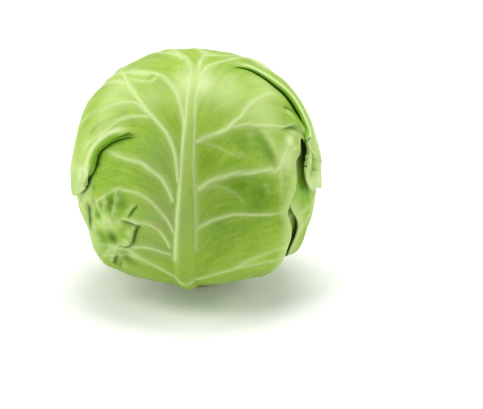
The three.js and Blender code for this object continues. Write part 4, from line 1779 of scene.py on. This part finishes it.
@dataclass
class Stem:
    """The stub of the stem: a cone with leaf scars round it and a flat cut face below.

    The scars lie in a slow spiral. The cut face's ring and dry edge are shares of the foot's radius.
    """

    name: str = "stem"
    foot_radius: float = 16.5
    top_radius: float = 13.5
    bevel: float = 1.0
    sides: int = 120
    face_rings: int = 14
    rings: int = 26
    cap_rings: int = 6
    scar_pitch: float = 6.5
    scar_width: float = 0.16
    scar_depth: float = 0.7
    roughness: float = 0.25
    roughness_size: float = 4.0
    smooth_from: float = 0.5
    smooth_end: float = 3.0
    cut_height: tuple[float, float] = (0.1, 0.8)
    ring: float = 0.68
    ring_width: float = 1.3
    dry_from: float = 0.88
    piece: bpy.types.Object | None = field(default=None, init=False)

    def build(self) -> bpy.types.Object:
        """Makes the stub's mesh by spinning its outline.

        Returns:
            The piece, which carries what its material reads.
        """
        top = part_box(self.name)[1].z / MILLIMETRE
        face = [(r, 0.0) for r in np.linspace(0, self.foot_radius - self.bevel, self.face_rings)]
        slope, height = self.foot_radius - self.top_radius, top - self.bevel
        shares = np.linspace(0, 1, self.rings)
        wall = [(self.foot_radius - slope * f, self.bevel + height * f) for f in shares]
        cap = [(r, top) for r in np.linspace(self.top_radius, 0, self.cap_rings)[1:]]
        bm = bmesh.new()
        verts = [bm.verts.new((x, 0, z)) for x, z in face + wall + cap]
        edges = [bm.edges.new(pair) for pair in zip(verts, verts[1:])]
        bmesh.ops.spin(bm, geom=verts + edges, axis=(0, 0, 1), cent=(0, 0, 0), dvec=(0, 0, 0),
                       angle=2 * math.pi, steps=self.sides, use_merge=True)
        bmesh.ops.remove_doubles(bm, verts=bm.verts, dist=1e-4)
        bmesh.ops.recalc_face_normals(bm, faces=bm.faces)
        p = np.array([v.co for v in bm.verts], float)
        r, z = np.hypot(p[:, 0], p[:, 1]), p[:, 2]
        angle = np.arctan2(p[:, 1], p[:, 0])
        end = smoothstep(z, top - self.smooth_end, top)
        wall_share = smoothstep(z, self.smooth_from, self.smooth_end) * (1 - end)
        row = z / self.scar_pitch + angle / (2 * math.pi)
        scar = bell((row % 1) - 0.5, self.scar_width) * (0.5 + 0.5 * np.sin(3 * angle + 2 * np.floor(row)))
        rough = self.roughness * np.abs(fractal(p, self.roughness_size, 3, 5))
        pull = wall_share * (self.scar_depth * scar + rough)
        p[:, :2] *= (1 - pull / np.maximum(r, 1))[:, None]
        self.piece = mesh_object("stem_stub", bm, p)
        cut = 1 - smoothstep(z, *self.cut_height)
        ring = bell(r - self.ring * self.foot_radius, self.ring_width)
        edge = smoothstep(r, self.dry_from * self.foot_radius, self.foot_radius)
        for name, value in {"scar": wall_share * scar, "cut": cut, "ring": ring, "edge": edge}.items():
            set_attribute(self.piece, name, value)
        return self.piece

    def dress(self, material: bpy.types.Material) -> None:
        """Gives the stub its finish and hands it to the frame."""
        self.piece.data.materials.append(material)
        hand_over(self.piece, self.name)


@dataclass(frozen=True)
class Softbox:
    """A soft area light that looks at the head."""

    name: str
    place: tuple[float, float, float]
    size: float
    power: float
    aim: tuple[float, float, float] = (0, 0, 0.09)

    def hang(self) -> None:
        """Puts the light in the scene."""
        data = bpy.data.lights.new(self.name, "AREA")
        data.shape, data.size, data.energy = "DISK", self.size, self.power
        light = bpy.data.objects.new(self.name, data)
        light.location = self.place
        light.rotation_mode = "QUATERNION"
        light.rotation_quaternion = (Vector(self.aim) - Vector(self.place)).to_track_quat("-Z", "Y")
        bpy.context.scene.collection.objects.link(light)


@dataclass(frozen=True)
class Studio:
    """A plain pale floor and soft light, mostly from above on the left."""

    floor_size: float = 6.0
    floor_colour: Colour = (0.97, 0.97, 0.97, 1.0)
    floor_shade: Colour = (0.9, 0.9, 0.9, 1.0)
    floor_drop: float = 0.2
    sky: float = 0.42
    lamps: tuple[Softbox, ...] = (
        Softbox("key_light", (-1.1, -1.1, 2.0), 1.1, 15),
        Softbox("left_light", (-2.0, 0.0, 0.9), 1.5, 24),
        Softbox("right_light", (2.0, -0.1, 1.0), 1.5, 24),
        Softbox("top_light", (0.1, 0.5, 2.1), 1.6, 30),
    )

    def build(self) -> None:
        """Makes the floor, the sky and the lights."""
        scene = bpy.context.scene
        scene.view_settings.view_transform = "Standard"
        world = bpy.data.worlds.new("studio")
        world.use_nodes = True
        sky = world.node_tree.nodes["Background"]
        sky.inputs["Color"].default_value = (1, 1, 1, 1)
        sky.inputs["Strength"].default_value = self.sky
        scene.world = world
        bm = bmesh.new()
        bmesh.ops.create_grid(bm, x_segments=4, y_segments=4, size=self.floor_size / MILLIMETRE / 2)
        bmesh.ops.translate(bm, verts=bm.verts, vec=(0, 0, -self.floor_drop))
        floor = mesh_object("floor", bm)
        paint = Paint("floor")
        tone = paint.cloud(paint.place(), 400, 2)
        colour = paint.mix(self.floor_colour, self.floor_shade, tone * 0.3)
        floor.data.materials.append(paint.finish(colour, 0.6 + 0.1 * tone, tone, 0.05))
        for lamp in self.lamps:
            lamp.hang()


def main() -> None:
    """Builds the camera, the studio and the head."""
    logging.basicConfig(level=logging.INFO, format="%(name)s %(message)s")
    PHOTO.place()
    Studio().build()
    leaf_skin = LeafFinish("wrapper_leaf").material()
    young = LeafFinish("young_leaf", srgb(150, 180, 84), srgb(168, 194, 108), srgb(120, 156, 50))
    leaves = [
        Leaf(f"wrapper_leaf_{i + 1}", i, plan.sheet(), plan.flare, plan.waves, plan.phase,
             stains_and_shades=UNDER_STAINS_AND_SHADES)
        for i, plan in enumerate(PLANS)
    ]
    leaves.append(FrontLeaf(
        "front_leaf", len(leaves), LeafSheet(LeafPlane(0, 18), FRONT_MIDRIB, FRONT_LEFT, FRONT_RIGHT),
        flare=2.2, waves=0.6, phase=0.3, scallop=0.015, rim_swing=0.08, across=240, along=200,
        rib_strength=(0.1, 0.25, 0.8), busy_lines=(6, 8), last_busy=9.2,
        busy_rows=((5.9, 0.4, 1.9), (7.9, 0.4, 1.9), (3.0, 0.8, 1.3)), stains_and_shades=FRONT_STAINS_AND_SHADES,
    ))
    samples = [leaf.sheet.samples() for leaf in leaves]
    for i, leaf in enumerate(leaves):
        outside = np.concatenate(samples[i + 1:]) if i + 1 < len(leaves) else np.zeros((0, 3))
        leaf.build(outside)
        leaf.dress(leaf_skin)
    ball = YoungLeaves()
    ball.build()
    ball.dress(young.material())
    stem = Stem()
    stem.build()
    stem.dress(StemFinish("stem_rind").material())
    bpy.context.view_layer.update()


if __name__ == "__main__":
    main()
